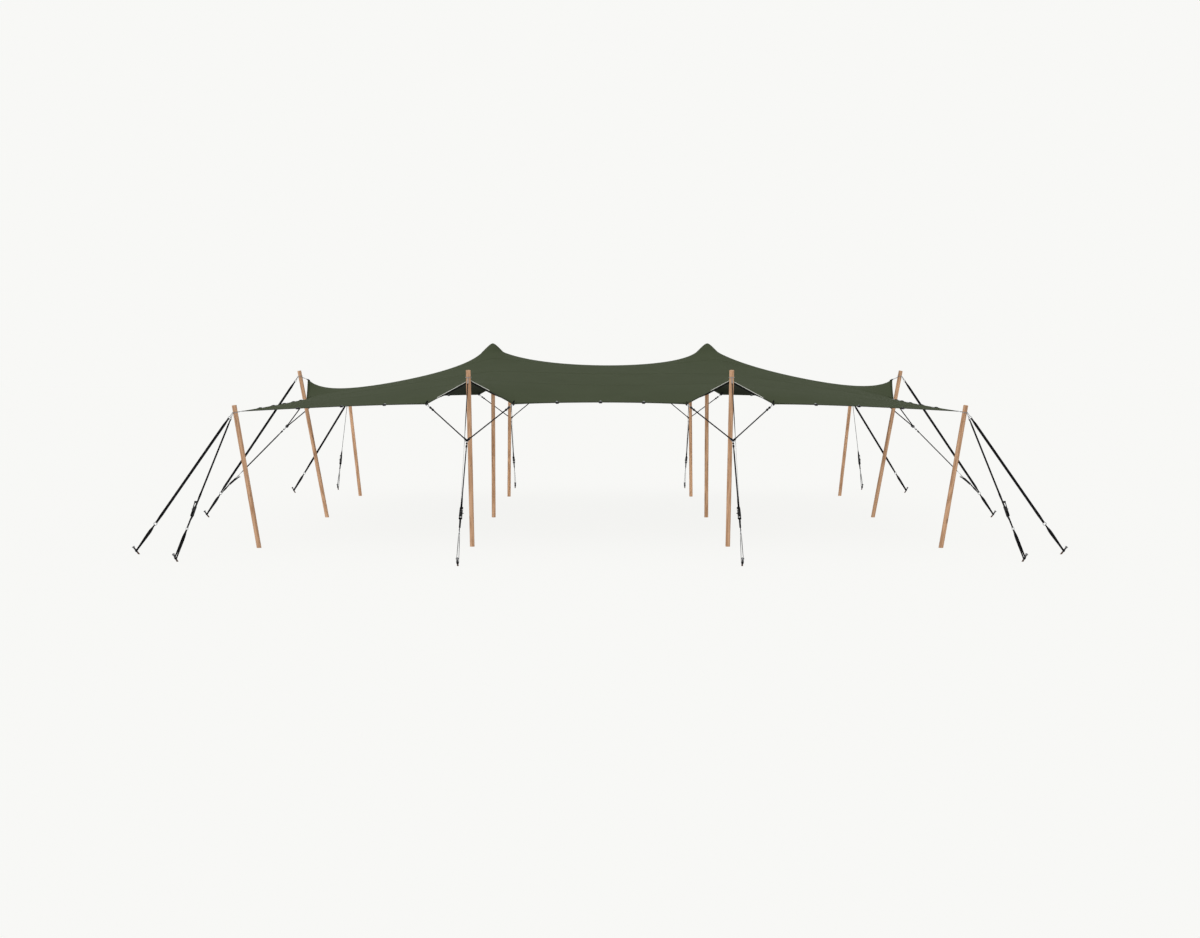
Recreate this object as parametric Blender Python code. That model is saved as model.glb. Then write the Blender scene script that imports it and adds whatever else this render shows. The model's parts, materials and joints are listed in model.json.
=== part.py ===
"""A stretch tent on twelve wooden poles, as separate closed solids.

Metres, +Z up, ground at z = 0, long side along X, front towards -Y. The tent is the same on
the left and right and on the front and back, so each kind of piece is placed by its signs. Only
the cloth differs: it is pulled tighter on the right, so it sags less there.
"""

import math

import bmesh
import bpy
import numpy as np
from mathutils import Matrix, Vector

GAP = 0.0003
SEED = 0.001
SHARP = math.radians(35)

# Poles
POLE_R = 0.040
POLE_SIDES = 12
POLE_LEAN = math.radians(10)
POLE_CHAMFER = 0.004
CORNER_POLE = 2.50
EDGE_POLE = 3.10
CORNER_FOOT = Vector((5.88, 5.11, 0))
SIDE_FOOT = Vector((5.70, 0, 0))
MID_FOOT = Vector((2.22, 4.93, 0))
CENTRE_X = 2.22

# Canopy: where the cloth is held, half of the tent each way
CORNER_TIP = Vector((6.08, 5.29, 2.36))
SIDE_TIP = Vector((6.06, 0, 2.87))
MID_TIP = Vector((CENTRE_X, 5.25, 2.88))
LOOP_STEP = 0.74
SIDE_HOLD = Vector((5.94, LOOP_STEP, 2.475))
MID_HOLD_Y = 5.20
MID_HOLD_Z = 2.478
CLOTH = 0.014
LEFT_PULL = 0.8
MIDDLE_PULL = 1.0
RIGHT_PULL = 1.65
RIDGE_PULL = 2.7
LONG_HEM_PULL = 8.2
SIDE_HEM_PULL = 16.4
PEAK_Z = 3.62
CELLS_X = (3, 2, 1, 1, 1, 1, 2, 6)
GRADES_X = (1, 0.8, 1, 1, 1, 1, 1.25, 1)
CELLS_Y = (1, 1, 2, 8)
GRADES_Y = (1, 1, 1.25, 1)
CROWN_R = 0.22
CROWN_HEAD_R = 0.08
CROWN_SLOPE = 1.05
CROWN_ROUND = 0.06
PAD_R = 0.068
PAD_BASE_R = 0.061
PAD_DEEP = 0.030
PAD_SIDES = 8
SOLVE_STEPS = 1500
SOLVE_END = 1e-14
TINY = 1e-30

# Stays
CORNER_REACH = 1.985
CORNER_SPREAD = math.radians(19)
EDGE_REACH = 2.47
HEAD_DOWN = 0.12
STROP_R = 0.005
LINK_R = 0.006
LINK_SIDES = 6
LINK_TIP_R = 0.0004
LINK_GAP = 0.0008
STAY_START = 0.13
STAY_WIDE = 0.050
STAY_THICK = 0.005
WEB_WIDE = 0.030
WEB_THICK = 0.004
ANCHOR_RING_Z = 0.50
RING_R = 0.026
RING_TUBE = 0.005
RING_SIDES = 8
BRIDLE_RING_Z = 1.88
BUCKLE = Vector((0.055, 0.040, 0.014))
BUCKLE_DOWN = 0.10
HOOK = Vector((0.075, 0.026, 0.014))
STRAP_IN_HOOK = 0.015

# Ratchet, along its strap: X up the strap, Y across it, Z to the side where its lever opens
RATCHET_Z = 0.70
PLATE = Vector((0.190, 0.004, 0.040))
PLATE_BACK = 0.020
PLATE_INSIDE = 0.018
DRUM_R = 0.017
SPINDLE_R = 0.008
SPINDLE_HALF = 0.036
BOLT_R = 0.006
BOLT_UP = 0.155
ARM_LONG = 0.240
ARM_THICK = 0.005
ARM_WIDE = 0.022
ARM_INSIDE = 0.027
ARM_RISE = 0.030
GRIP_R = 0.009
EYE_R = 0.015
EYE_HOLE_R = 0.0089
RATCHET_SIDES = 8

# Stakes
STAKE_R = 0.014
STAKE_SIDES = 8
STAKE_LEAN = math.radians(35)
STAKE_LONG = 0.165
STAKE_HEAD_R = 0.024
STAKE_TOP_R = 0.018
STAKE_HEAD = 0.014
STAKE_NECK = 0.004
STAKE_EDGE = 0.005
SLING_UP = 0.075
SLING_WIDE = 0.030
SLING_THICK = 0.005
SLING_NECK = 0.010
SLING_TURNS = 5

WOOD = ("pole_wood", (0.52, 0.33, 0.20), 0.65, 0.0)
CLOTH_GREEN = ("canopy_cloth", (0.068, 0.082, 0.048), 0.85, 0.0)
WEBBING = ("webbing", (0.012, 0.012, 0.013), 0.80, 0.0)
STAKE_STEEL = ("stake_steel", (0.10, 0.10, 0.11), 0.45, 1.0)
HANDLE_STEEL = ("handle_steel", (0.05, 0.05, 0.055), 0.40, 1.0)
RUBBER = ("pad_rubber", (0.02, 0.02, 0.02), 0.90, 0.0)


def clear_scene():
    for obj in list(bpy.data.objects):
        bpy.data.objects.remove(obj)


def material_of(finish):
    name, colour, roughness, metallic = finish
    found = bpy.data.materials.get(name)
    if found:
        return found
    made = bpy.data.materials.new(name)
    made.use_nodes = True
    shader = made.node_tree.nodes["Principled BSDF"]
    shader.inputs["Base Color"].default_value = (*colour, 1)
    shader.inputs["Roughness"].default_value = roughness
    shader.inputs["Metallic"].default_value = metallic
    return made


def object_of(name, bm, finish):
    bmesh.ops.recalc_face_normals(bm, faces=bm.faces)
    mesh = bpy.data.meshes.new(name)
    bm.to_mesh(mesh)
    bm.free()
    mesh.materials.append(material_of(finish))
    obj = bpy.data.objects.new(name, mesh)
    bpy.context.scene.collection.objects.link(obj)
    return obj


def smooth(obj):
    obj.data.shade_smooth()
    obj.data.set_sharp_from_angle(angle=SHARP)


def combine(obj, other, operation):
    """Changes obj by a Boolean with other, which is then gone; a union joins obj's own shells too."""
    change = obj.modifiers.new("change", "BOOLEAN")
    change.operation = operation
    change.solver = "EXACT"
    change.use_self = operation == "UNION"
    change.object = other
    graph = bpy.context.evaluated_depsgraph_get()
    changed = bpy.data.meshes.new_from_object(obj.evaluated_get(graph))
    obj.modifiers.clear()
    obj.data = changed
    bpy.data.objects.remove(other)


def fused(name, bm, finish):
    """One closed body from the overlapping closed shells in bm."""
    shells = object_of(name, bm, finish)
    blank = bmesh.new()
    add_box(blank, Matrix.Translation(seed_of(shells)), Vector((SEED, SEED, SEED)))
    combine(shells, object_of(name + "_seed", blank, finish), "UNION")
    return shells


def seed_of(obj):
    """The middle of the first shell, where a tiny cube lies wholly inside the body."""
    corners = [Vector(v.co) for v in obj.data.vertices[:8]]
    return sum(corners, Vector()) / len(corners)


def frame_at(origin, along, across):
    """A matrix whose X runs along, Y across, and Z square to both."""
    x = along.normalized()
    z = x.cross(across).normalized()
    y = z.cross(x)
    turn = Matrix((x, y, z)).transposed().to_4x4()
    return Matrix.Translation(origin) @ turn


def add_box(bm, place, size):
    made = bmesh.ops.create_cube(bm, size=1.0)
    bmesh.ops.scale(bm, vec=size, verts=made["verts"])
    bmesh.ops.transform(bm, matrix=place, verts=made["verts"])


def add_bar(bm, start, end, across, wide, thick):
    """A flat strap from start to end, with its width along across."""
    place = frame_at((start + end) / 2, end - start, across)
    add_box(bm, place, Vector(((end - start).length, wide, thick)))


def add_rod(bm, start, end, radius, sides, end_radius=None):
    run = end - start
    turn = run.to_track_quat("Z", "Y").to_matrix().to_4x4()
    bmesh.ops.create_cone(
        bm,
        cap_ends=True,
        segments=sides,
        radius1=radius,
        radius2=radius if end_radius is None else end_radius,
        depth=run.length,
        matrix=Matrix.Translation((start + end) / 2) @ turn,
    )


def add_loop(bm, centres, outward, axes, wide, thick):
    """A closed band along centres: thick along each outward direction, wide along each axis."""
    rings = []
    for centre, out, axis in zip(centres, outward, axes):
        sides = [(out * thick * a + axis * wide * b) / 2 for a, b in ((1, 1), (1, -1), (-1, -1), (-1, 1))]
        rings.append([bm.verts.new(centre + side) for side in sides])
    for ring, after in zip(rings, rings[1:] + rings[:1]):
        for k in range(4):
            n = (k + 1) % 4
            bm.faces.new((ring[k], ring[n], after[n], after[k]))


def add_ring(bm, place, radius, tube, sides):
    """A ring of four-sided section about the Z of place."""
    turn = place.to_3x3()
    spin = [2 * math.pi * k / sides for k in range(sides)]
    outward = [turn @ Vector((math.cos(a), math.sin(a), 0)) for a in spin]
    centres = [place.translation + out * radius for out in outward]
    add_loop(bm, centres, outward, [turn @ Vector((0, 0, 1))] * sides, 2 * tube, 2 * tube)


def turned_onto_ground(bm, foot, axis, profile, sides):
    """Rings of (distance along axis, radius) from the foot up; the first is cut flush with the ground."""
    frame = pole_frame(foot, axis)
    x, y = frame.col[0].xyz, frame.col[1].xyz
    rings = []
    for index, (up, radius) in enumerate(profile):
        ring = []
        for k in range(sides):
            turn = 2 * math.pi * k / sides
            point = foot + axis * up + (x * math.cos(turn) + y * math.sin(turn)) * radius
            if index == 0:
                point -= axis * (point.z / axis.z)
            ring.append(bm.verts.new(point))
        rings.append(ring)
    bm.faces.new(rings[0])
    bm.faces.new(rings[-1])
    for ring, after in zip(rings, rings[1:]):
        for k in range(sides):
            n = (k + 1) % sides
            bm.faces.new((ring[k], ring[n], after[n], after[k]))


def pole_frame(point, axis):
    """X points the way the pole leans, or along +X on a plumb pole, and Z runs up the pole."""
    lean = Vector((axis.x, axis.y, 0))
    across = Vector((0, 0, 1)).cross(lean) if lean.length > TINY else Vector((0, 1, 0))
    y = across.normalized()
    x = y.cross(axis).normalized()
    turn = Matrix((x, y, axis)).transposed().to_4x4()
    return Matrix.Translation(point) @ turn


def signed(point, sx, sy):
    return Vector((point.x * sx, point.y * sy, point.z))


def leaning(outward, lean):
    return (outward * math.sin(lean) + Vector((0, 0, 1)) * math.cos(lean)).normalized()


def corner_places():
    """Name, signs, foot, outward direction of each corner pole."""
    for front, sy in (("front", -1), ("back", 1)):
        for side, sx in (("left", -1), ("right", 1)):
            outward = Vector((sx, sy, 0)).normalized()
            yield f"{front}_{side}", sx, sy, signed(CORNER_FOOT, sx, sy), outward


def edge_places():
    """Name, signs, foot, outward direction, cloth tip and the two bridle holds of each edge pole."""
    for side, sx in (("left", -1), ("right", 1)):
        holds = [signed(SIDE_HOLD, sx, sy) for sy in (-1, 1)]
        foot, tip = signed(SIDE_FOOT, sx, 1), signed(SIDE_TIP, sx, 1)
        yield f"side_{side}", foot, Vector((sx, 0, 0)), tip, holds
    for front, sy in (("front", -1), ("back", 1)):
        for side, sx in (("left", -1), ("right", 1)):
            across = [sx * (CENTRE_X + k * LOOP_STEP) for k in (-1, 1)]
            holds = [Vector((x, sy * MID_HOLD_Y, MID_HOLD_Z)) for x in across]
            foot, tip = signed(MID_FOOT, sx, sy), signed(MID_TIP, sx, sy)
            yield f"mid_{front}_{side}", foot, Vector((0, sy, 0)), tip, holds


def stations(stops, cells, grading):
    """Distances from the first stop to the last, each stretch in its own number of graded cells."""
    out = [stops[0]]
    for low, high, count, grade in zip(stops, stops[1:], cells, grading):
        sizes = np.cumsum([grade**k for k in range(count)])
        out += list(low + (high - low) * sizes / sizes[-1])
    return np.array(out)


def mirrored(half):
    return np.concatenate([-half[:0:-1], half])


def crown_drop(radius):
    """How far the cloth has fallen at this distance from the pole head: a cone with a rounded tip."""
    return math.hypot(CROWN_SLOPE * radius, CROWN_ROUND) - CROWN_ROUND


def canopy_grid():
    """The reference lines of the cloth before it is hung: s along X, t along Y."""
    inner, outer = CENTRE_X - LOOP_STEP, CENTRE_X + LOOP_STEP
    stops = [0, inner, CENTRE_X - CROWN_R, CENTRE_X - CROWN_HEAD_R, CENTRE_X]
    stops += [CENTRE_X + CROWN_HEAD_R, CENTRE_X + CROWN_R, outer, CORNER_TIP.x]
    s = mirrored(stations(stops, CELLS_X, GRADES_X))
    stops = [0, CROWN_HEAD_R, CROWN_R, LOOP_STEP, CORNER_TIP.y]
    t = mirrored(stations(stops, CELLS_Y, GRADES_Y))
    return s, t


def canopy_holds(s, t):
    """Grid place and position of every point where the cloth is held."""

    def at(x, y):
        return int(np.abs(s - x).argmin()), int(np.abs(t - y).argmin())

    holds = {}
    for sx in (-1, 1):
        holds[at(sx * CORNER_TIP.x, 0)] = signed(SIDE_TIP, sx, 1)
        for sy in (-1, 1):
            holds[at(sx * CORNER_TIP.x, sy * CORNER_TIP.y)] = signed(CORNER_TIP, sx, sy)
            holds[at(sx * CORNER_TIP.x, sy * LOOP_STEP)] = signed(SIDE_HOLD, sx, sy)
            holds[at(sx * CENTRE_X, sy * CORNER_TIP.y)] = signed(MID_TIP, sx, sy)
            for k in (-1, 1):
                x = sx * (CENTRE_X + k * LOOP_STEP)
                holds[at(x, sy * CORNER_TIP.y)] = Vector((x, sy * MID_HOLD_Y, MID_HOLD_Z))
        steps = (-CROWN_R, -CROWN_HEAD_R, 0, CROWN_HEAD_R, CROWN_R)
        for dx in steps:
            for dy in steps:
                radius = max(abs(dx), abs(dy))
                shrink = radius / max(math.hypot(dx, dy), TINY)
                place = Vector((sx * CENTRE_X + dx * shrink, dy * shrink, PEAK_Z - crown_drop(radius)))
                holds[at(sx * CENTRE_X + dx, dy)] = place
    return holds


def hung_cloth(s, t, holds):
    """Where each grid point hangs when the cloth, its ridges and its hem pull between the holds.

    Each grid line pulls on its neighbours in proportion to its width of cloth, the hem adds a
    cord's pull, and so does each ridge from a centre pole to the mid poles on both sides of it.
    The balance of all pulls is found by conjugate gradients.
    """
    width_s = np.gradient(s)
    width_t = np.gradient(t)
    width_s[[0, -1]] /= 2
    width_t[[0, -1]] /= 2
    middles = (s[1:] + s[:-1]) / 2
    outer_pulls = np.where(middles < 0, LEFT_PULL, RIGHT_PULL)
    pulls = np.where(np.abs(middles) < CENTRE_X, MIDDLE_PULL, outer_pulls)
    along_s = np.outer(pulls / np.diff(s), width_t)
    along_t = np.outer(width_s, 1 / np.diff(t))
    along_s[:, [0, -1]] += (LONG_HEM_PULL / np.diff(s))[:, None]
    along_t[[0, -1], :] += SIDE_HEM_PULL / np.diff(t)
    ridges = [np.abs(s - x).argmin() for x in (-CENTRE_X, CENTRE_X)]
    along_t[ridges, :] += RIDGE_PULL / np.diff(t)
    total = np.zeros((len(s), len(t)))
    total[:-1] += along_s
    total[1:] += along_s
    total[:, :-1] += along_t
    total[:, 1:] += along_t

    def pull(points):
        out = total[..., None] * points
        out[:-1] -= along_s[..., None] * points[1:]
        out[1:] -= along_s[..., None] * points[:-1]
        out[:, :-1] -= along_t[..., None] * points[:, 1:]
        out[:, 1:] -= along_t[..., None] * points[:, :-1]
        return out

    points = np.zeros((len(s), len(t), 3))
    points[..., 0] = s[:, None]
    points[..., 1] = t
    points[..., 2] = MID_HOLD_Z
    free = np.ones((len(s), len(t), 1))
    for (i, j), place in holds.items():
        points[i, j] = place
        free[i, j] = 0
    left = -pull(points) * free
    step = left / total[..., None]
    size = (left * step).sum(axis=(0, 1))
    for _ in range(SOLVE_STEPS):
        moved = pull(step) * free
        reach = size / np.maximum((step * moved).sum(axis=(0, 1)), TINY)
        points += reach * step
        left -= reach * moved
        eased = left / total[..., None]
        after = (left * eased).sum(axis=(0, 1))
        if after.max() < SOLVE_END:
            break
        step = eased + after / np.maximum(size, TINY) * step
        size = after
    return points


def build_canopy():
    """The cloth as a closed sheet: the hung surface on top, the same surface CLOTH lower beneath."""
    s, t = canopy_grid()
    points = hung_cloth(s, t, canopy_holds(s, t))
    bm = bmesh.new()
    layers = []
    for drop in (0, CLOTH):
        down = Vector((0, 0, drop))
        layers.append([[bm.verts.new(Vector(p) - down) for p in row] for row in points])
    top, under = layers
    for i in range(len(s) - 1):
        for j in range(len(t) - 1):
            quad = ((i, j), (i + 1, j), (i + 1, j + 1), (i, j + 1))
            bm.faces.new([top[a][b] for a, b in quad])
            bm.faces.new([under[a][b] for a, b in reversed(quad)])
    last_i, last_j = len(s) - 1, len(t) - 1
    rim = [(i, 0) for i in range(last_i)] + [(last_i, j) for j in range(last_j)]
    rim += [(i, last_j) for i in range(last_i, 0, -1)] + [(0, j) for j in range(last_j, 0, -1)]
    for (a, b), (c, d) in zip(rim, rim[1:] + rim[:1]):
        bm.faces.new((top[a][b], under[a][b], under[c][d], top[c][d]))
    bmesh.ops.triangulate(bm, faces=bm.faces)
    smooth(object_of("canopy", bm, CLOTH_GREEN))


def build_pole(name, foot, axis, length):
    bm = bmesh.new()
    profile = [(0, POLE_R), (length - POLE_CHAMFER, POLE_R), (length, POLE_R - POLE_CHAMFER)]
    turned_onto_ground(bm, foot, axis, profile, POLE_SIDES)
    smooth(object_of(name, bm, WOOD))


def build_centre_pole(side, sx):
    """A plumb pole, and the rubber head on it that the crown of the cloth rests on."""
    foot = Vector((sx * CENTRE_X, 0, 0))
    up = Vector((0, 0, 1))
    tip = PEAK_Z - CLOTH - GAP
    rim = tip - crown_drop(CROWN_HEAD_R) * PAD_R / CROWN_HEAD_R
    base = rim - PAD_DEEP
    build_pole(f"pole_centre_{side}", foot, up, base - GAP)
    bm = bmesh.new()
    low = [bm.verts.new(foot + point) for point in circle_points(PAD_BASE_R, base)]
    high = [bm.verts.new(foot + point) for point in circle_points(PAD_R, rim)]
    top = bm.verts.new(foot + Vector((0, 0, tip)))
    bm.faces.new(low)
    for k in range(PAD_SIDES):
        n = (k + 1) % PAD_SIDES
        bm.faces.new((low[k], low[n], high[n], high[k]))
        bm.faces.new((high[k], high[n], top))
    object_of(f"crown_pad_{side}", bm, RUBBER)


def circle_points(radius, z):
    for k in range(PAD_SIDES):
        turn = 2 * math.pi * k / PAD_SIDES
        yield Vector((radius * math.cos(turn), radius * math.sin(turn), z))


def build_stake(name, foot, axis):
    bm = bmesh.new()
    neck = STAKE_LONG - STAKE_HEAD
    profile = [(0, STAKE_R), (neck - STAKE_NECK, STAKE_R), (neck, STAKE_HEAD_R)]
    profile += [(STAKE_LONG - STAKE_EDGE, STAKE_HEAD_R), (STAKE_LONG, STAKE_TOP_R)]
    turned_onto_ground(bm, foot, axis, profile, STAKE_SIDES)
    smooth(object_of(name, bm, STAKE_STEEL))


def add_strop(bm, head, pole_axis, toward_cloth, outward, ground):
    """A ring round the pole head, a link in to the cloth and one out to where the stays start.

    The outer link points at ground, midway between the feet of the stays.
    """
    place = pole_frame(head, pole_axis)
    radius = POLE_R + 2 * GAP + STROP_R
    add_ring(bm, place, radius, STROP_R, POLE_SIDES)
    reach = toward_cloth - head
    reach -= pole_axis * reach.dot(pole_axis)
    inner = head + reach.normalized() * (radius + LINK_R / 2)
    stop = toward_cloth - (toward_cloth - inner).normalized() * LINK_GAP
    add_rod(bm, inner, stop, LINK_R, LINK_SIDES, LINK_TIP_R)
    outer = head + outward * radius
    start = outer + (ground - outer).normalized() * STAY_START
    add_rod(bm, outer, start, LINK_R, LINK_SIDES)
    return start


def add_sling(bm, ring, foot, stake_axis):
    """A webbing loop from the anchor ring, close round the stake under its head."""
    hold = foot + stake_axis * SLING_UP
    down = (hold - ring).normalized()
    across = down.cross(Vector((0, 0, 1))).normalized()
    away = across.cross(stake_axis).normalized()
    if away.dot(down) < 0:
        away.negate()
    wide = down.cross(across)
    if wide.dot(stake_axis) < 0:
        wide.negate()
    half_turn = math.pi / SLING_TURNS / 2
    radius = (STAKE_R + GAP) / math.cos(half_turn) + SLING_THICK / 2
    centres, outward, axes = [], [], []
    for k in range(SLING_TURNS + 1):
        turn = math.pi * k / SLING_TURNS - math.pi / 2
        out = away * math.cos(turn) + across * math.sin(turn)
        centres.append(hold + out * radius)
        outward.append(out)
        axes.append(stake_axis)
    for side in (1, -1):
        out = (across * side - down).normalized()
        centres.append(ring + down * RING_R + across * side * SLING_NECK)
        outward.append(out)
        axes.append(wide)
    add_loop(bm, centres, outward, axes, SLING_WIDE, SLING_THICK)


def ratchet_place(spindle, upper, opens):
    """The lever opens away from the tent where opens is 1, and towards it where it is -1."""
    up = upper - spindle
    facing = Vector((-up.x, -up.y, 0)) * opens
    return frame_at(spindle, up, facing.cross(up))


def add_ratchet(bm, place):
    """Two side plates, the drum with its wound webbing, the spindle and the fixed bolt."""
    for side in (-1, 1):
        middle = Vector((PLATE.x / 2 - PLATE_BACK, side * (PLATE_INSIDE + PLATE.y / 2), 0))
        add_box(bm, place @ Matrix.Translation(middle), PLATE)
    across = Vector((0, 1, 0))
    inside = PLATE_INSIDE + PLATE.y / 2
    add_rod(bm, place @ (-across * inside), place @ (across * inside), DRUM_R, RATCHET_SIDES)
    add_rod(bm, place @ (-across * SPINDLE_HALF), place @ (across * SPINDLE_HALF), SPINDLE_R, RATCHET_SIDES)
    bolt = Vector((BOLT_UP, 0, 0))
    add_rod(bm, place @ (bolt - across * inside), place @ (bolt + across * inside), BOLT_R, RATCHET_SIDES)


def build_handle(name, place):
    """The ratchet's lever: two arms with eyes on the spindle, and the grip across their ends."""
    bm = bmesh.new()
    end = Vector((ARM_LONG, 0, ARM_RISE))
    across = place.col[1].xyz
    middle = Vector((0, ARM_INSIDE + ARM_THICK / 2, 0))
    half = Vector((0, ARM_THICK / 2, 0))
    for side in (-1, 1):
        eye = middle * side
        add_bar(bm, place @ eye, place @ (eye + end), across, ARM_THICK, ARM_WIDE)
        add_rod(bm, place @ (eye - half), place @ (eye + half), EYE_R, RATCHET_SIDES)
    add_rod(bm, place @ (end - middle), place @ (end + middle), GRIP_R, RATCHET_SIDES)
    handle = fused(name, bm, HANDLE_STEEL)
    hole = bmesh.new()
    add_rod(hole, place @ (middle * -2), place @ (middle * 2), EYE_HOLE_R, RATCHET_SIDES)
    combine(handle, object_of(name + "_hole", hole, HANDLE_STEEL), "DIFFERENCE")


def add_ratchet_run(bm, upper, ring, opens):
    """The strap from upper to the anchor ring with its ratchet; returns the ratchet's place."""
    run = ring - upper
    spindle = upper + run * ((RATCHET_Z - upper.z) / run.z)
    place = ratchet_place(spindle, upper, opens)
    across = place.col[1].xyz
    add_bar(bm, upper, place @ Vector((BOLT_UP, 0, 0)), across, WEB_WIDE, WEB_THICK)
    add_bar(bm, spindle, ring - run.normalized() * RING_R, across, WEB_WIDE, WEB_THICK)
    add_ratchet(bm, place)
    return place


def stay_anchor(bm, start, stake_foot, stake_axis):
    """The anchor ring on the line from start to the stake, and the sling below it."""
    hold = stake_foot + stake_axis * SLING_UP
    run = hold - start
    ring = start + run * ((ANCHOR_RING_Z - start.z) / run.z)
    across = Vector((run.y, -run.x, 0)).normalized()
    place = frame_at(ring, run, run.cross(across))
    add_ring(bm, place, RING_R, RING_TUBE, RING_SIDES)
    add_sling(bm, ring, stake_foot, stake_axis)
    return ring


def add_plain_stay(bm, start, ring):
    run = (ring - start).normalized()
    across = Vector((run.y, -run.x, 0)).normalized()
    add_bar(bm, start, ring - run * RING_R, run.cross(across), STAY_WIDE, STAY_THICK)


def build_corner(name, sx, sy, foot, outward):
    axis = leaning(outward, POLE_LEAN)
    build_pole(f"pole_corner_{name}", foot, axis, CORNER_POLE)
    head = foot + axis * (CORNER_POLE - HEAD_DOWN)
    tip = signed(CORNER_TIP, sx, sy) - Vector((0, 0, CLOTH / 2))
    bm = bmesh.new()
    ground = foot + outward * CORNER_REACH * math.cos(CORNER_SPREAD)
    start = add_strop(bm, head, axis, tip, outward, ground)
    for kind, turn in (("a", -1), ("b", 1)):
        spin = Matrix.Rotation(turn * sx * sy * CORNER_SPREAD, 3, "Z")
        direction = spin @ outward
        stake_foot = foot + direction * CORNER_REACH
        stake_axis = leaning(direction, STAKE_LEAN)
        build_stake(f"stake_corner_{name}_{kind}", stake_foot, stake_axis)
        ring = stay_anchor(bm, start, stake_foot, stake_axis)
        if kind == "a":
            add_plain_stay(bm, start, ring)
        else:
            place = add_ratchet_run(bm, start, ring, 1)
            build_handle(f"handle_corner_{name}", place)
    fused(f"stays_corner_{name}", bm, WEBBING)


def add_bridle(bm, holds, ring):
    """Two legs from the cloth's edge to a ring, and the ratchet strap from there to the anchor ring."""
    middle = (holds[0] + holds[1]) / 2
    run = ring - middle
    join = middle + run * ((BRIDLE_RING_Z - middle.z) / run.z)
    across = (holds[1] - holds[0]).normalized()
    add_ring(bm, frame_at(join, run, across), RING_R, RING_TUBE, RING_SIDES)
    normal = run.cross(across).normalized()
    for hold in holds:
        leg = (hold - join).normalized()
        wide = leg.cross(normal)
        stop = hold - leg * BUCKLE_DOWN
        add_bar(bm, join + leg * RING_R, stop, wide, WEB_WIDE, WEB_THICK)
        add_box(bm, frame_at(stop, leg, wide), BUCKLE)
        add_rod(bm, stop, hold - leg * LINK_GAP, LINK_R, LINK_SIDES, LINK_TIP_R)
    down = run.normalized()
    hook = join + down * (RING_R + HOOK.x / 2)
    add_box(bm, frame_at(hook, down, across), HOOK)
    return add_ratchet_run(bm, join + down * (RING_R + HOOK.x - STRAP_IN_HOOK), ring, -1)


def build_edge(name, foot, outward, tip, holds):
    axis = leaning(outward, POLE_LEAN)
    build_pole(f"pole_{name}", foot, axis, EDGE_POLE)
    head = foot + axis * (EDGE_POLE - HEAD_DOWN)
    half = Vector((0, 0, CLOTH / 2))
    bm = bmesh.new()
    stake_foot = foot + outward * EDGE_REACH
    start = add_strop(bm, head, axis, tip - half, outward, stake_foot)
    stake_axis = leaning(outward, STAKE_LEAN)
    build_stake(f"stake_{name}", stake_foot, stake_axis)
    ring = stay_anchor(bm, start, stake_foot, stake_axis)
    add_plain_stay(bm, start, ring)
    place = add_bridle(bm, [hold - half for hold in holds], ring)
    build_handle(f"handle_{name}", place)
    fused(f"stays_{name}", bm, WEBBING)


def main():
    clear_scene()
    build_canopy()
    for side, sx in (("left", -1), ("right", 1)):
        build_centre_pole(side, sx)
    for place in corner_places():
        build_corner(*place)
    for place in edge_places():
        build_edge(*place)


main()
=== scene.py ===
# %% [markdown]
# # Dressing a stretch tent
# The tent is one sheet of stretch cloth over twelve wooden poles, pulled out by webbing stays to
# stakes in the ground. Its plain solids are ready made, in metres with Z up, and they stay where
# they are. Each cell below dresses one kind of part, at the place that the solids give.

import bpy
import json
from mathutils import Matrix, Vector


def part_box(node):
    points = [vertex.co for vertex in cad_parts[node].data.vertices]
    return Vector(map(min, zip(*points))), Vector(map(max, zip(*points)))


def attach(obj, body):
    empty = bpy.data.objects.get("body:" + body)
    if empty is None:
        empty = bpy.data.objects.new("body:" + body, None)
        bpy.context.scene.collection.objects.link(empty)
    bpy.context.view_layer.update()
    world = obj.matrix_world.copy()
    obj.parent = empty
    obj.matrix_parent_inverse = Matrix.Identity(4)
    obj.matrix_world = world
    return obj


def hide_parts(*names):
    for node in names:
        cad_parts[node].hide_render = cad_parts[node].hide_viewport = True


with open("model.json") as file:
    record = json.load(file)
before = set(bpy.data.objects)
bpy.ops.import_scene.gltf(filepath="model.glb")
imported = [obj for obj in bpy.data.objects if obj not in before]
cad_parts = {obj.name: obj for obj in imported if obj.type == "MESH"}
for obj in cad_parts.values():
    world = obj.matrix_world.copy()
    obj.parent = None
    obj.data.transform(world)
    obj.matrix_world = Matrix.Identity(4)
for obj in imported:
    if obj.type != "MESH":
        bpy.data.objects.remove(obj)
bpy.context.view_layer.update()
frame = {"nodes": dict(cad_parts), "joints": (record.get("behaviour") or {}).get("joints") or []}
nodes = frame["nodes"]

# %% Tools from Python and Blender
import json
import math

import bmesh
import bpy
import numpy as np
from mathutils import Matrix, Vector

UP = Vector((0, 0, 1))

# %% [markdown]
# ## Camera
# The photograph was taken from far in front of the tent, at about the height of its edge, looking
# slightly down. A far camera with a long lens keeps the poles nearly parallel. These values come
# from fitting the feet and heads of all twelve poles. A 42 mm lens on a 36 mm sensor is the same
# as a focal length of 1400 pixels on a picture 1200 pixels wide.

# %% Camera
CAMERA_PLACE = Vector((0, -29.11, 3.01))
CAMERA_DOWN = math.radians(3.93)
LENS_MM = 42.0
SENSOR_MM = 36.0

lens = bpy.data.cameras.new("camera")
lens.lens = LENS_MM
lens.sensor_width = SENSOR_MM
camera = bpy.data.objects.new("camera", lens)
camera.location = CAMERA_PLACE
camera.rotation_euler = (math.radians(90) - CAMERA_DOWN, 0, 0)
bpy.context.scene.collection.objects.link(camera)
bpy.context.scene.camera = camera
print("camera", [round(x, 2) for x in camera.location])

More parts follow.
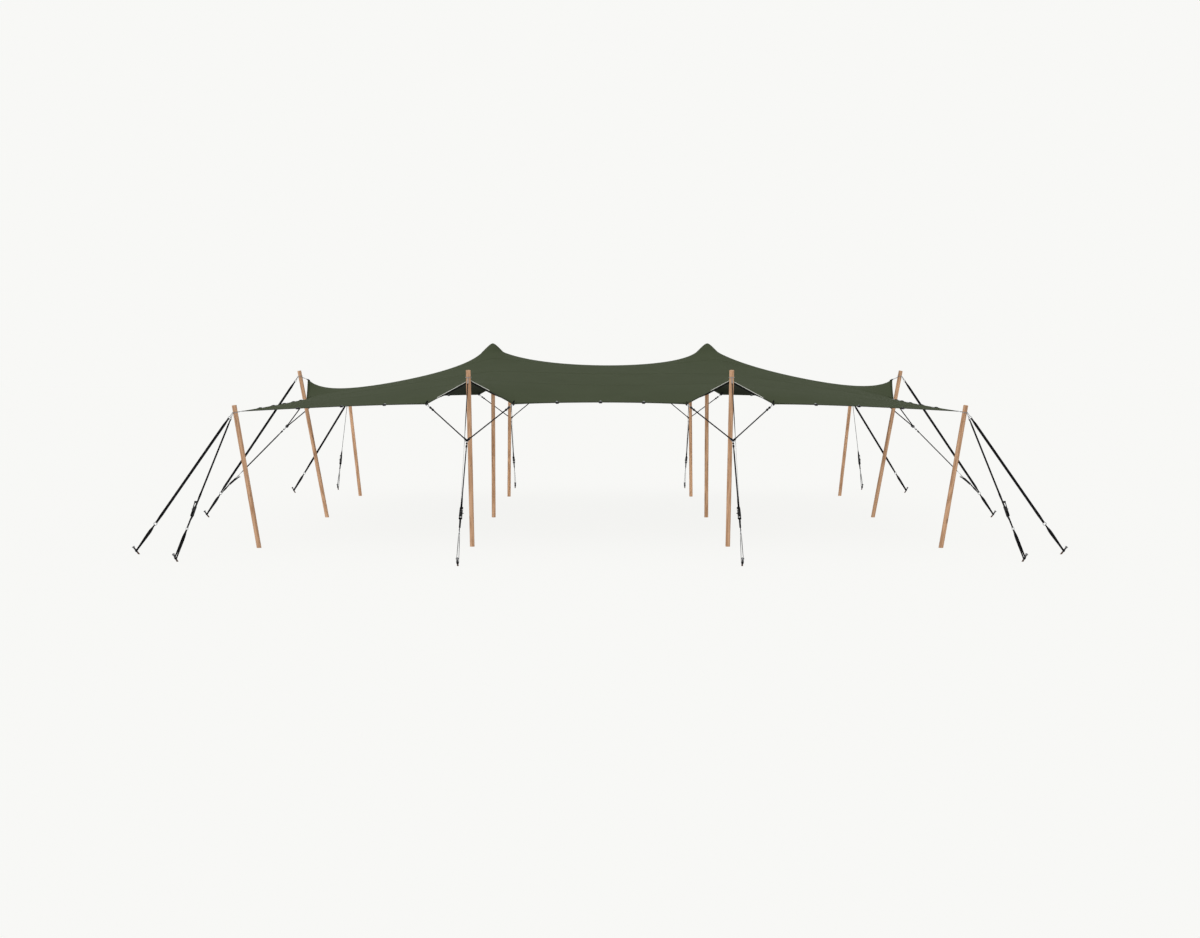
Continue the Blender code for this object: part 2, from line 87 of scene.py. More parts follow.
# %% [markdown]
# ## Light and floor
# A product picture on a pale ground has soft light from all round and hardly any shadow. A nearly
# white sky gives the even light. A wide sun, whose angle blurs every shadow, adds a brighter side.
# The floor gives off most of its own brightness and reflects only a little, so that the tent's
# shadow on it stays faint. The colour management is Standard, because a pale ground would turn
# grey under a film-like view.

# %% Sky, sun and floor
GROUND_TONE = (0.939, 0.939, 0.921)
FLOOR_REFLECTS = 0.04
FLOOR_LIGHT = 1.17
FLOOR_SIDE = 600.0
SUN_STRENGTH = 1.0
SUN_WIDE = math.radians(50)
SUN_TURN = (math.radians(38), math.radians(-24), 0)

scene = bpy.context.scene
scene.view_settings.view_transform = "Standard"
sky = bpy.data.worlds.new("sky")
sky.use_nodes = True
sky.node_tree.nodes["Background"].inputs["Color"].default_value = (*GROUND_TONE, 1)
scene.world = sky

sun_light = bpy.data.lights.new("sun", "SUN")
sun_light.energy = SUN_STRENGTH
sun_light.angle = SUN_WIDE
sun = bpy.data.objects.new("sun", sun_light)
sun.rotation_euler = SUN_TURN
scene.collection.objects.link(sun)

floor_paint = bpy.data.materials.new("floor")
floor_paint.use_nodes = True
floor_shader = floor_paint.node_tree.nodes["Principled BSDF"]
floor_shader.inputs["Base Color"].default_value = (FLOOR_REFLECTS,) * 3 + (1,)
floor_shader.inputs["Roughness"].default_value = 1.0
floor_shader.inputs["Specular IOR Level"].default_value = 0.0
glow = [tone - FLOOR_REFLECTS * FLOOR_LIGHT for tone in GROUND_TONE]
floor_shader.inputs["Emission Color"].default_value = (*glow, 1)
floor_shader.inputs["Emission Strength"].default_value = 1.0

floor_mesh = bpy.data.meshes.new("floor")
half_floor = FLOOR_SIDE / 2
corners = [(x * half_floor, y * half_floor, 0) for x, y in ((-1, -1), (1, -1), (1, 1), (-1, 1))]
floor_mesh.from_pydata(corners, [], [(0, 1, 2, 3)])
floor_mesh.materials.append(floor_paint)
floor = bpy.data.objects.new("floor", floor_mesh)
scene.collection.objects.link(floor)
print("floor", FLOOR_SIDE, "m wide, glow", [round(g, 3) for g in glow])

# %% [markdown]
# The cloth keeps most of the sky from the poles under it, but in the photograph they are nearly as
# bright as the front ones. Two wide lamps under the cloth, facing back, fill them in. Light
# linking keeps their light on the wood alone, so the cloth's underside stays dark and the
# floor keeps its soft shadow. Each pole joins the lit collection when it is made.

# %% Fill lights for the far poles
FILL_WATTS = (120.0, 126.0)
FILL_COLOUR = (1.0, 0.96, 0.88)
FILL_SIZE = (10.5, 1.7)
FILL_PLACES = ((0, -4.3, 1.2), (0, 1.2, 1.2))

lit_wood = bpy.data.collections.new("lit_wood")
for place, watts in zip(FILL_PLACES, FILL_WATTS):
    fill_light = bpy.data.lights.new("fill", "AREA")
    fill_light.shape = "RECTANGLE"
    fill_light.size, fill_light.size_y = FILL_SIZE
    fill_light.energy = watts
    fill_light.color = FILL_COLOUR
    fill = bpy.data.objects.new("fill", fill_light)
    fill.location = place
    fill.rotation_euler = (math.radians(90), 0, 0)
    fill.visible_camera = False
    fill.light_linking.receiver_collection = lit_wood
    scene.collection.objects.link(fill)
print(len(FILL_PLACES), "fill lights of", FILL_WATTS, "W")

# %% [markdown]
# ## Shader maths in plain Python
# A procedural finish is a sum of patterns. Wiring that sum by hand takes a page of node calls, so
# this small class wraps one socket and lets Python's own operators add the Math nodes. Every
# other node comes from one method, which sets the node's settings first and its sockets after.


# %% A socket with operators
class Field:
    """One value that varies over a surface; arithmetic on it adds Math nodes to its material."""

    def __init__(self, tree, socket=None):
        self.tree = tree
        self.socket = socket

    def node(self, kind, settings=None, sockets=None, output=0):
        made = self.tree.nodes.new(kind)
        for name, value in (settings or {}).items():
            if name == "stops":
                set_stops(made.color_ramp.elements, value)
            else:
                setattr(made, name, value)
        for name, value in (sockets or {}).items():
            if isinstance(value, Field):
                self.tree.links.new(value.socket, made.inputs[name])
            else:
                made.inputs[name].default_value = value
        return Field(self.tree, made.outputs[output])

    def math(self, operation, *values):
        return self.node("ShaderNodeMath", {"operation": operation}, dict(enumerate(values)))

    def __add__(self, other):
        return self.math("ADD", self, other)

    def __radd__(self, other):
        return self.math("ADD", other, self)

    def __sub__(self, other):
        return self.math("SUBTRACT", self, other)

    def __rsub__(self, other):
        return self.math("SUBTRACT", other, self)

    def __mul__(self, other):
        return self.math("MULTIPLY", self, other)

    def __rmul__(self, other):
        return self.math("MULTIPLY", other, self)

    def __abs__(self):
        return self.math("ABSOLUTE", self)

    def __mod__(self, other):
        return self.math("FLOORED_MODULO", self, other)


def set_stops(elements, stops):
    """Gives a colour ramp its (position, colour) stops."""
    while len(elements) < len(stops):
        elements.new(1.0)
    for element, (position, colour) in zip(elements, stops):
        element.position = position
        element.color = (*colour, 1)


# %% Patterns that several finishes share
def part(vector, index):
    return vector.node("ShaderNodeSeparateXYZ", sockets={0: vector}, output=index)


def scaled(vector, size):
    return vector.node("ShaderNodeVectorMath", {"operation": "MULTIPLY"}, {0: vector, 1: size})


def noise(vector, scale, detail=2.0, roughness=0.5):
    sockets = {"Vector": vector, "Scale": scale, "Detail": detail, "Roughness": roughness}
    return vector.node("ShaderNodeTexNoise", sockets=sockets)


def cells(vector, scale, output="Distance"):
    return vector.node("ShaderNodeTexVoronoi", sockets={"Vector": vector, "Scale": scale}, output=output)


def step(value, low, high):
    """Rises smoothly from 0 at low to 1 at high."""
    settings = {"interpolation_type": "SMOOTHSTEP"}
    return value.node("ShaderNodeMapRange", settings, {0: value, 1: low, 2: high})


def wave(value, length):
    """A sine between 0 and 1 that repeats every length."""
    return value.math("SINE", value * (2 * math.pi / length)) * 0.5 + 0.5


def ramp(value, *stops):
    return value.node("ShaderNodeValToRGB", {"stops": stops}, {0: value})


def mixed(mask, first, second):
    """The colour first where mask is 0 and second where it is 1."""
    colours = [c if isinstance(c, Field) else (*c, 1) for c in (first, second)]
    sockets = {0: mask, 6: colours[0], 7: colours[1]}
    return mask.node("ShaderNodeMix", {"data_type": "RGBA"}, sockets, output=2)


def relief(height, depth, strength):
    """A normal for Normal, from a height between 0 and 1 that stands for depth in metres."""
    sockets = {"Strength": strength, "Distance": depth, "Height": height}
    return height.node("ShaderNodeBump", sockets=sockets)


def on_surface(field):
    return field.node("ShaderNodeTexCoord", output="UV")


def in_object(field):
    return field.node("ShaderNodeTexCoord", output="Object")


# %% One finish
def finish(name, paint, **plain):
    """A Principled material: paint gives what varies, and plain the sockets that are the same all over."""
    made = bpy.data.materials.new(name)
    made.use_nodes = True
    shader = made.node_tree.nodes["Principled BSDF"]
    for socket, value in plain.items():
        shader.inputs[socket.replace("_", " ").title().replace("Ior", "IOR")].default_value = value
    for socket, field in paint(Field(made.node_tree)).items():
        made.node_tree.links.new(field.socket, shader.inputs[socket])
    print("finish", name)
    return made


# %% [markdown]
# ## Building meshes
# Nearly everything on the tent is a section carried along a line: webbing, wire, rope, rings,
# poles and stakes. One sweep makes them all. It carries an outline through a list of places,
# and it lays a UV map in metres, along the run and round the outline, so that a weave
# comes out at its true size.


# %% Places and runs of places
def place_at(origin, along, across):
    """A place whose X runs along, whose Y runs across and whose Z is square to both."""
    x = along.normalized()
    z = x.cross(across).normalized()
    y = z.cross(x)
    return Matrix.Translation(origin) @ Matrix((x, y, z)).transposed().to_4x4()


def run_of(points, across, loop=False):
    """Places along points, with X along the run; across is one vector, or one for each point."""
    places = []
    last = len(points) - 1
    for k, point in enumerate(points):
        before = points[k - 1] if loop or k > 0 else point
        after = points[(k + 1) % len(points)] if loop or k < last else point
        places.append(place_at(point, after - before, across[k] if isinstance(across, list) else across))
    return places


def sized(place, stations):
    """Places at (distance along X, width, height) from place, each of which sizes its outline."""
    return [place @ Matrix.Translation((x, 0, 0)) @ Matrix.Diagonal((1, w, h, 1)) for x, w, h in stations]


def narrowed(places, widths):
    return [place @ Matrix.Diagonal((1, width, 1, 1)) for place, width in zip(places, widths)]


# %% Outlines and the sweep
def circle(radius, sides):
    turns = [2 * math.pi * k / sides for k in range(sides)]
    return [(radius * math.cos(a), radius * math.sin(a)) for a in turns]


def strap_outline(wide, thick):
    """A flat section whose two edges are rounded over."""
    y, z = wide / 2, thick / 2
    near = y - z / 2
    return [(y, 0), (near, z), (0, z), (-near, z), (-y, 0), (-near, -z), (0, -z), (near, -z)]


def sweep(bm, places, outline, loop=False, slot=0):
    """Carries a closed outline, drawn in the Y and Z of each place, along the places."""
    uv = bm.loops.layers.uv.verify()
    rings = [[bm.verts.new(place @ Vector((0, y, z))) for y, z in outline] for place in places]
    count = len(outline)
    sides = [math.dist(outline[k], outline[(k + 1) % count]) for k in range(count)]
    around = [sum(sides[:k]) for k in range(count + 1)]
    spots = [place.translation for place in places]
    if loop:
        rings.append(rings[0])
        spots.append(spots[0])
    along = 0.0
    for a, b, here, there in zip(rings, rings[1:], spots, spots[1:]):
        next_along = along + (there - here).length
        for k in range(count):
            m = (k + 1) % count
            face = bm.faces.new((a[k], a[m], b[m], b[k]))
            face.material_index = slot
            corners = ((along, k), (along, k + 1), (next_along, k + 1), (next_along, k))
            for corner, (u, v) in zip(face.loops, corners):
                corner[uv].uv = (u, around[v])
        along = next_along
    if not loop:
        for end in (rings[0][::-1], rings[-1]):
            bm.faces.new(end).material_index = slot


def tube(bm, points, radius, across, sides=10, loop=False, slot=0):
    sweep(bm, run_of(points, across, loop), circle(radius, sides), loop, slot)


def turned(bm, place, profile, sides=16, slot=0):
    """A turned shape about the X of place, from its (distance along X, radius) points."""
    sweep(bm, sized(place, [(x, r, r) for x, r in profile]), circle(1.0, sides), slot=slot)


# %% Arcs and rings
def arc(place, radius, first, last, steps):
    """Points on a circle in the X and Y of place, from one angle to another in degrees."""
    turns = [math.radians(first + (last - first) * k / steps) for k in range(steps + 1)]
    return [place @ Vector((radius * math.cos(a), radius * math.sin(a), 0)) for a in turns]


def whole_circle(place, radius, steps):
    return arc(place, radius, 0, 360, steps)[:-1]


def ring(bm, place, radius, thick, sides=12, steps=36):
    """A ring about the Z of place."""
    places = run_of(whole_circle(place, radius, steps), place.col[2].xyz, loop=True)
    sweep(bm, places, circle(thick, sides), loop=True)


# %% Plates and smooth curves
ROUND_STEPS = 4
PLATE_CHAMFER = 0.0006


def softened(corners, steps=ROUND_STEPS):
    """An outline through (x, y, cut) corners, where cut is how far back each corner is rounded off."""
    outline = []
    for k, (x, y, cut) in enumerate(corners):
        here = Vector((x, y))
        before = Vector(corners[k - 1][:2]) - here
        after = Vector(corners[(k + 1) % len(corners)][:2]) - here
        first, last = here + before.normalized() * cut, here + after.normalized() * cut
        for j in range(steps + 1):
            share = j / steps
            outline.append(first.lerp(here, share).lerp(here.lerp(last, share), share))
    return outline


def plate(bm, place, outline, thick, chamfer=PLATE_CHAMFER):
    """A flat plate with broken edges: outline lies in the Y and Z of place, thick runs along X."""
    shrink = 1 - chamfer / max(abs(c) for point in outline for c in point)
    half = thick / 2
    edges = ((-half, shrink), (chamfer - half, 1), (half - chamfer, 1), (half, shrink))
    sweep(bm, sized(place, [(x, k, k) for x, k in edges]), outline)


def eased(points, gap):
    """Points about gap apart on a smooth curve through the given ones."""
    ends = [2 * points[0] - points[1], *points, 2 * points[-1] - points[-2]]
    out = []
    for a, b, c, d in zip(ends, ends[1:], ends[2:], ends[3:]):
        count = max(1, round((c - b).length / gap))
        for k in range(count):
            t = k / count
            bend = (2 * a - 5 * b + 4 * c - d) * t * t + (3 * b - a - 3 * c + d) * t**3
            out.append(b + ((c - a) * t + bend) / 2)
    return out + [points[-1]]


# %% One piece
SHARP = math.radians(40)


def piece(name, bm, finishes, body="tent", stands_for=(), place=None):
    """An object from bm that rides on a body, takes a slot's finish and stands for plain solids."""
    bmesh.ops.recalc_face_normals(bm, faces=bm.faces)
    mesh = bpy.data.meshes.new(name)
    bm.to_mesh(mesh)
    bm.free()
    for material in finishes:
        mesh.materials.append(material)
    mesh.shade_smooth()
    mesh.set_sharp_from_angle(angle=SHARP)
    made = bpy.data.objects.new(name, mesh)
    bpy.context.scene.collection.objects.link(made)
    if place:
        made.matrix_world = place
    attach(made, body)
    if stands_for:
        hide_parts(*stands_for)
    print(name, len(mesh.polygons), "faces")
    return made


# %% [markdown]
# ## Where the poles and stakes are
# Every fitting hangs on a pole or a stake, so their places are measured from the plain solids
# and not typed in again. All the corners of a flat round end lie equally far from the middle of
# the foot, and farther than any others. Their mean is therefore the middle of the head.


# %% Measure poles and stakes
SAME = 0.001


def middle_of(points):
    return sum(points, Vector()) / len(points)


def rod_of(node):
    """Foot on the ground, direction and length of a pole or stake."""
    points = [Vector(c) for c in {tuple(round(x, 5) for x in v.co) for v in nodes[node].data.vertices}]
    foot = middle_of([p for p in points if p.z < SAME])
    far = max((p - foot).length for p in points)
    head = middle_of([p for p in points if (p - foot).length > far - SAME])
    return foot, (head - foot).normalized(), (head - foot).length


poles = {name: rod_of(name) for name in nodes if name.startswith("pole_")}
stakes = {name: rod_of(name) for name in nodes if name.startswith("stake_")}
for name, (foot, axis, length) in poles.items():
    lean = math.degrees(axis.angle(UP))
    print(name, [round(x, 3) for x in foot], round(lean, 1), "degrees,", round(length, 3), "m")

# %% [markdown]
# ## The shape of the cloth
# Stretch cloth hung from a few points takes the shape in which all its pulls balance. It could be
# sculpted or simulated, but solving that balance directly is exact and quick. The cloth is
# a grid of lines, each line pulls on its neighbours in proportion to the width it stands for,
# and the hem and the two ridges pull harder, as a cord would. The cloth is tighter on the right,
# where it sags less. The poles, the bridles and the two rounded crowns hold it. The plain solid
# was made the same way, and here the grid is three times as fine.

# %% Where the cloth is held
CENTRE_X = 2.22
# The hem's half lengths, and the points of it that poles (tips) and bridles (holds) pull out.
HALF = Vector((6.08, 5.29))
CORNER_Z = 2.36
SIDE_TIP = Vector((6.06, 0, 2.87))
MID_TIP = Vector((CENTRE_X, 5.25, 2.88))
LOOP_STEP = 0.74
SIDE_HOLD = Vector((5.94, LOOP_STEP, 2.475))
MID_HOLD = Vector((0, 5.20, 2.478))
PEAK_Z = 3.62
CROWN_R = 0.22
CROWN_SLOPE = 1.05
CROWN_ROUND = 0.06
# How hard each part of the cloth pulls, against the middle.
LEFT_PULL = 0.8
MIDDLE_PULL = 1.0
RIGHT_PULL = 1.65
RIDGE_PULL = 2.7
LONG_HEM_PULL = 8.2
SIDE_HEM_PULL = 16.4
FINER = 3
CELLS_ALONG = (6, 3, 3, 3, 3, 12)
CELLS_ACROSS = (3, 3, 17)


def grid_lines(stops, cells_between):
    """Distances on both sides of the middle, each stretch in its own number of equal cells."""
    spans = zip(stops, stops[1:], cells_between)
    stretches = [np.linspace(a, b, FINER * n, endpoint=False) for a, b, n in spans]
    half = np.concatenate([*stretches, stops[-1:]])
    return np.concatenate([-half[:0:-1], half])


def cloth_holds(s, t):
    """Grid place and position of every point where the cloth is held."""

    def at(x, y):
        return int(np.abs(s - x).argmin()), int(np.abs(t - y).argmin())

    holds = {}
    for sx in (-1, 1):
        holds[at(sx * HALF.x, 0)] = (sx * SIDE_TIP.x, 0, SIDE_TIP.z)
        for sy in (-1, 1):
            holds[at(sx * HALF.x, sy * HALF.y)] = (sx * HALF.x, sy * HALF.y, CORNER_Z)
            holds[at(sx * HALF.x, sy * LOOP_STEP)] = (sx * SIDE_HOLD.x, sy * LOOP_STEP, SIDE_HOLD.z)
            holds[at(sx * CENTRE_X, sy * HALF.y)] = (sx * CENTRE_X, sy * MID_TIP.y, MID_TIP.z)
            for x in (CENTRE_X - LOOP_STEP, CENTRE_X + LOOP_STEP):
                holds[at(sx * x, sy * HALF.y)] = (sx * x, sy * MID_HOLD.y, MID_HOLD.z)
        for i in np.flatnonzero(np.abs(s - sx * CENTRE_X) < CROWN_R + SAME):
            for j in np.flatnonzero(np.abs(t) < CROWN_R + SAME):
                dx, dy = s[i] - sx * CENTRE_X, t[j]
                radius = max(abs(dx), abs(dy))
                shrink = radius / max(math.hypot(dx, dy), SAME)
                drop = math.hypot(CROWN_SLOPE * radius, CROWN_ROUND) - CROWN_ROUND
                holds[int(i), int(j)] = (sx * CENTRE_X + dx * shrink, dy * shrink, PEAK_Z - drop)
    return holds


# %% Balance the pulls
SOLVE_STEPS = 3000
SOLVE_END = 1e-14
TINY = 1e-30


def hung_cloth(s, t, holds):
    """Where each grid point hangs, found by preconditioned conjugate gradients."""
    width_s, width_t = np.gradient(s), np.gradient(t)
    width_s[[0, -1]] /= 2
    width_t[[0, -1]] /= 2
    middles = (s[1:] + s[:-1]) / 2
    end_pulls = np.where(middles < 0, LEFT_PULL, RIGHT_PULL)
    pulls = np.where(np.abs(middles) < CENTRE_X, MIDDLE_PULL, end_pulls)
    along_s = np.outer(pulls / np.diff(s), width_t)
    along_t = np.outer(width_s, 1 / np.diff(t))
    along_s[:, [0, -1]] += (LONG_HEM_PULL / np.diff(s))[:, None]
    along_t[[0, -1], :] += SIDE_HEM_PULL / np.diff(t)
    along_t[np.abs(np.abs(s) - CENTRE_X) < SAME, :] += RIDGE_PULL / np.diff(t)
    total = np.zeros((len(s), len(t), 1))
    total[:-1, :, 0] += along_s
    total[1:, :, 0] += along_s
    total[:, :-1, 0] += along_t
    total[:, 1:, 0] += along_t
    along_s, along_t = along_s[..., None], along_t[..., None]

    def pull(points):
        out = total * points
        out[:-1] -= along_s * points[1:]
        out[1:] -= along_s * points[:-1]
        out[:, :-1] -= along_t * points[:, 1:]
        out[:, 1:] -= along_t * points[:, :-1]
        return out

    level = np.full((len(s), len(t)), MID_HOLD.z)
    points = np.stack([*np.meshgrid(s, t, indexing="ij"), level], axis=-1)
    free = np.ones((len(s), len(t), 1))
    for spot, place in holds.items():
        points[spot] = place
        free[spot] = 0
    left = -pull(points) * free
    move = left / total
    size = (left * move).sum(axis=(0, 1))
    for count in range(SOLVE_STEPS):
        moved = pull(move) * free
        reach = size / np.maximum((move * moved).sum(axis=(0, 1)), TINY)
        points += reach * move
        left -= reach * moved
        after = (left * left / total).sum(axis=(0, 1))
        if after.max() < SOLVE_END:
            break
        move = left / total + after / np.maximum(size, TINY) * move
        size = after
    print("cloth grid", points.shape[:2], "balanced in", count, "steps")
    return points


inner, outer = CENTRE_X - LOOP_STEP, CENTRE_X + LOOP_STEP
s_stops = [0, inner, CENTRE_X - CROWN_R, CENTRE_X, CENTRE_X + CROWN_R, outer, HALF.x]
s_lines = grid_lines(s_stops, CELLS_ALONG)
t_lines = grid_lines([0, CROWN_R, LOOP_STEP, HALF.y], CELLS_ACROSS)
cloth = hung_cloth(s_lines, t_lines, cloth_holds(s_lines, t_lines))

# %% [markdown]
# ## Seams and hem in the cloth
# The sheet is sewn from strips 1.5 m wide that run along the tent, with flat-felled seams, and
# its edge is folded over into a hem. Both are thicker than the single cloth. They could be
# painted on, but an edge that catches the light has to be a shape. So grid lines are added on
# both sides of each seam and of the hem's fold, and the cloth between them is lifted.

# %% Add the seam and hem lines
SEAM_FIRST = 0.75
SEAM_STEP = 1.5
SEAM_PAIRS = 3
SEAM_HALF = 0.008
SEAM_LIFT = 0.0012
HEM_WIDE = 0.045
HEM_LIFT = 0.0015
FOLD = 0.0018


def with_lines(points, lines, extra, axis):
    """The grid with more lines, each on the straight stretch between its two neighbours."""
    wanted = np.unique(np.round(np.concatenate([lines, extra]), 5))
    spot = np.clip(np.searchsorted(lines, wanted, side="right") - 1, 0, len(lines) - 2)
    share = (wanted - lines[spot]) / (lines[spot + 1] - lines[spot])
    share = share.reshape([-1 if k == axis else 1 for k in range(3)])
    low, high = np.take(points, spot, axis), np.take(points, spot + 1, axis)
    return wanted, low * (1 - share) + high * share


seams = [SEAM_FIRST + SEAM_STEP * k for k in range(SEAM_PAIRS)]
beside = [s + d for s in seams for d in (-SEAM_HALF, FOLD - SEAM_HALF, SEAM_HALF - FOLD, SEAM_HALF)]
fold_t = [HALF.y - HEM_WIDE, HALF.y - HEM_WIDE + FOLD]
fold_s = [HALF.x - HEM_WIDE, HALF.x - HEM_WIDE + FOLD]
extra_t = beside + fold_t
t_lines, cloth = with_lines(cloth, t_lines, [k * x for x in extra_t for k in (-1, 1)], 1)
s_lines, cloth = with_lines(cloth, s_lines, [k * x for x in fold_s for k in (-1, 1)], 0)
print("cloth grid with seams", cloth.shape[:2])

# %% [markdown]
# The cloth becomes a thin closed sheet: the balanced surface on top, and the same surface a
# little lower beneath. Each side gets its own finish, and the UV map holds each point's place
# on the flat cloth in metres, so that patterns keep their size where the cloth is stretched.

# %% The closed sheet
CLOTH_THICK = 0.003


def lift_of(s, t):
    """How far seams and hem stand out of the cloth on each side."""
    seam = np.min([np.abs(np.abs(t) - x) for x in seams], axis=0)
    seam = np.clip((SEAM_HALF - seam) / FOLD, 0, 1) * SEAM_LIFT
    edge = np.minimum(HALF.x - np.abs(s)[:, None], HALF.y - np.abs(t)[None, :])
    hem = np.clip((HEM_WIDE - edge) / FOLD, 0, 1) * HEM_LIFT
    return np.maximum(seam[None, :], hem)[..., None]


def normals_of(points):
    square = np.cross(np.gradient(points, axis=0), np.gradient(points, axis=1))
    return square / np.linalg.norm(square, axis=-1, keepdims=True)


cloth_up = normals_of(cloth)
lifts = lift_of(s_lines, t_lines)
top_side = cloth + cloth_up * lifts
under_side = cloth - cloth_up * (CLOTH_THICK + lifts)


def cloth_at(s, t):
    """The place on the cloth at (s, t): X runs with s, Z stands out of the cloth."""
    i = int(np.clip(np.searchsorted(s_lines, s) - 1, 0, len(s_lines) - 2))
    j = int(np.clip(np.searchsorted(t_lines, t) - 1, 0, len(t_lines) - 2))
    a = (s - s_lines[i]) / (s_lines[i + 1] - s_lines[i])
    b = (t - t_lines[j]) / (t_lines[j + 1] - t_lines[j])
    quad = cloth[i : i + 2, j : j + 2]
    low, high = quad[0] * (1 - a) + quad[1] * a, quad[:, 0] * (1 - b) + quad[:, 1] * b
    spot = low[0] * (1 - b) + low[1] * b
    return place_at(Vector(spot), Vector(high[1] - high[0]), Vector(low[1] - low[0]))


# %% [markdown]
# ## Cloth finish
# The cloth is an olive knit with a dull, slightly uneven face. Below it has a dark coating, whose colour
# is darkened further to nearly black as painted shade under the cloth.
# The pattern is worked out from the flat cloth's coordinates: a fine knit, a faint cloudiness,
# darker seams and hem, and their rows of stitches, which are dashes along a thin line.

# %% Cloth finish
KNIT = (0.0016, 0.0012)
STITCH_STEP = 0.0050
STITCH_SHARE = 0.62
STITCH_HALF = 0.0007
STITCH_BLUR = 0.0004
STITCH_FROM_SEAM = 0.0045
STITCH_FROM_EDGE = 0.036
HEM_BAND = (0.038, 0.043)
KNIT_DEPTH = 0.0004
OLIVE = (0.0490, 0.0588, 0.0343)
OLIVE_PALE = (0.0545, 0.0656, 0.0387)
OLIVE_HEM = (0.0310, 0.0375, 0.0200)
THREAD = (0.1100, 0.1250, 0.0800)
# The underside colours are the coating darkened to nearly black: this is painted shade under the cloth,
# not the coating's own colour alone.
COATING_AND_PAINTED_SHADE = (0.0120, 0.0150, 0.0085)
COATING_PALE_AND_PAINTED_SHADE = (0.0170, 0.0205, 0.0125)
COATING_SEAM_AND_PAINTED_SHADE = (0.0300, 0.0340, 0.0240)
CLOTH_SHINE = 0.02


def stitch_row(distance):
    """1 on a row of stitches and 0 beside it, from the distance to the row."""
    return 1 - step(abs(distance), STITCH_HALF * 0.6, STITCH_HALF)


def cloth_paint(dark, pale, band_colour, thread):
    def paint(g):
        st = on_surface(g)
        s, t = part(st, 0), part(st, 1)
        edge = g.math("MINIMUM", HALF.x - abs(s), HALF.y - abs(t))
        seam = abs(abs(t) % SEAM_STEP - SEAM_FIRST)
        band = g.math("MAXIMUM", 1 - step(seam, SEAM_HALF - FOLD, SEAM_HALF), 1 - step(edge, *HEM_BAND))
        thread_end = STITCH_STEP * STITCH_SHARE
        dash = 1 - step((s + t) % STITCH_STEP, thread_end, thread_end + STITCH_BLUR)
        rows = stitch_row(seam - STITCH_FROM_SEAM)
        stitch = g.math("MAXIMUM", rows, stitch_row(edge - STITCH_FROM_EDGE)) * dash
        cloudy = noise(st, 1.3, 4.0, 0.6)
        yarn = noise(scaled(st, (1.0, 1.6, 1.0)), 420.0, 2.0)
        knit = wave(s + noise(st, 60.0) * 0.0006, KNIT[0]) * wave(t, KNIT[1])
        shade = cloudy * 0.65 + yarn * 0.35
        colour = mixed(step(shade, 0.25, 0.75), dark, pale)
        colour = mixed(band * 0.9, colour, band_colour)
        colour = mixed(stitch, colour, thread)
        height = knit * 0.6 + yarn * 0.4 + stitch * 1.5
        rough = 0.82 + yarn * 0.12 - band * 0.04
        return {"Base Color": colour, "Roughness": rough, "Normal": relief(height, KNIT_DEPTH, 0.35)}

    return paint


top_paint = cloth_paint(OLIVE, OLIVE_PALE, OLIVE_HEM, THREAD)
under_paint = cloth_paint(COATING_AND_PAINTED_SHADE, COATING_PALE_AND_PAINTED_SHADE, COATING_SEAM_AND_PAINTED_SHADE, THREAD)
cloth_top = finish("cloth_top", top_paint, specular_ior_level=CLOTH_SHINE)
cloth_under = finish("cloth_under", under_paint, specular_ior_level=CLOTH_SHINE)

# %% Cloth piece
CLOTH_SHARP = math.radians(55)


def cloth_mesh():
    """Top and underside of the sheet and the rim that closes it."""
    rows, columns = cloth.shape[:2]
    count = rows * columns
    spot = np.arange(count).reshape(rows, columns)
    quads = np.stack([spot[:-1, :-1], spot[1:, :-1], spot[1:, 1:], spot[:-1, 1:]], axis=-1)
    quads = quads.reshape(-1, 4)
    rim = np.concatenate([spot[:, 0], spot[-1, 1:], spot[-2::-1, -1], spot[0, -2:0:-1]])
    after = np.roll(rim, -1)
    rim_quads = np.stack([rim, rim + count, after + count, after], axis=-1)
    mesh = bpy.data.meshes.new("canopy_cloth")
    points = np.concatenate([top_side.reshape(-1, 3), under_side.reshape(-1, 3)])
    faces = np.concatenate([quads, quads[:, ::-1] + count, rim_quads])
    mesh.from_pydata(points.tolist(), [], faces.tolist())
    flat = np.stack(np.meshgrid(s_lines, t_lines, indexing="ij"), axis=-1).reshape(-1, 2)
    corners = np.zeros(len(mesh.loops), dtype=np.int32)
    mesh.loops.foreach_get("vertex_index", corners)
    mesh.uv_layers.new(name="flat").data.foreach_set("uv", flat[corners % count].ravel())
    sides = np.zeros(len(faces), dtype=np.int32)
    sides[len(quads) : 2 * len(quads)] = 1
    mesh.polygons.foreach_set("material_index", sides)
    mesh.materials.append(cloth_top)
    mesh.materials.append(cloth_under)
    mesh.shade_smooth()
    mesh.set_sharp_from_angle(angle=CLOTH_SHARP)
    return mesh


canopy = bpy.data.objects.new("canopy_cloth", cloth_mesh())
scene.collection.objects.link(canopy)
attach(canopy, "tent")
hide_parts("canopy")
print("cloth", len(canopy.data.polygons), "faces")

# %% [markdown]
# ## Edge of the cloth
# A cord runs in the fold of the hem, and it makes the dark round edge that the photograph shows.
# At each middle pole of the long sides the hem is drawn up in a V. A thin light cord along its
# upper side takes the pull, and a dark tape hangs below it. All follow the edge of the cloth,
# so each is a tube or a ribbon along points read from it.

# %% Rope finish
ROPE_LAY = 0.012
ROPE_STRANDS = 4


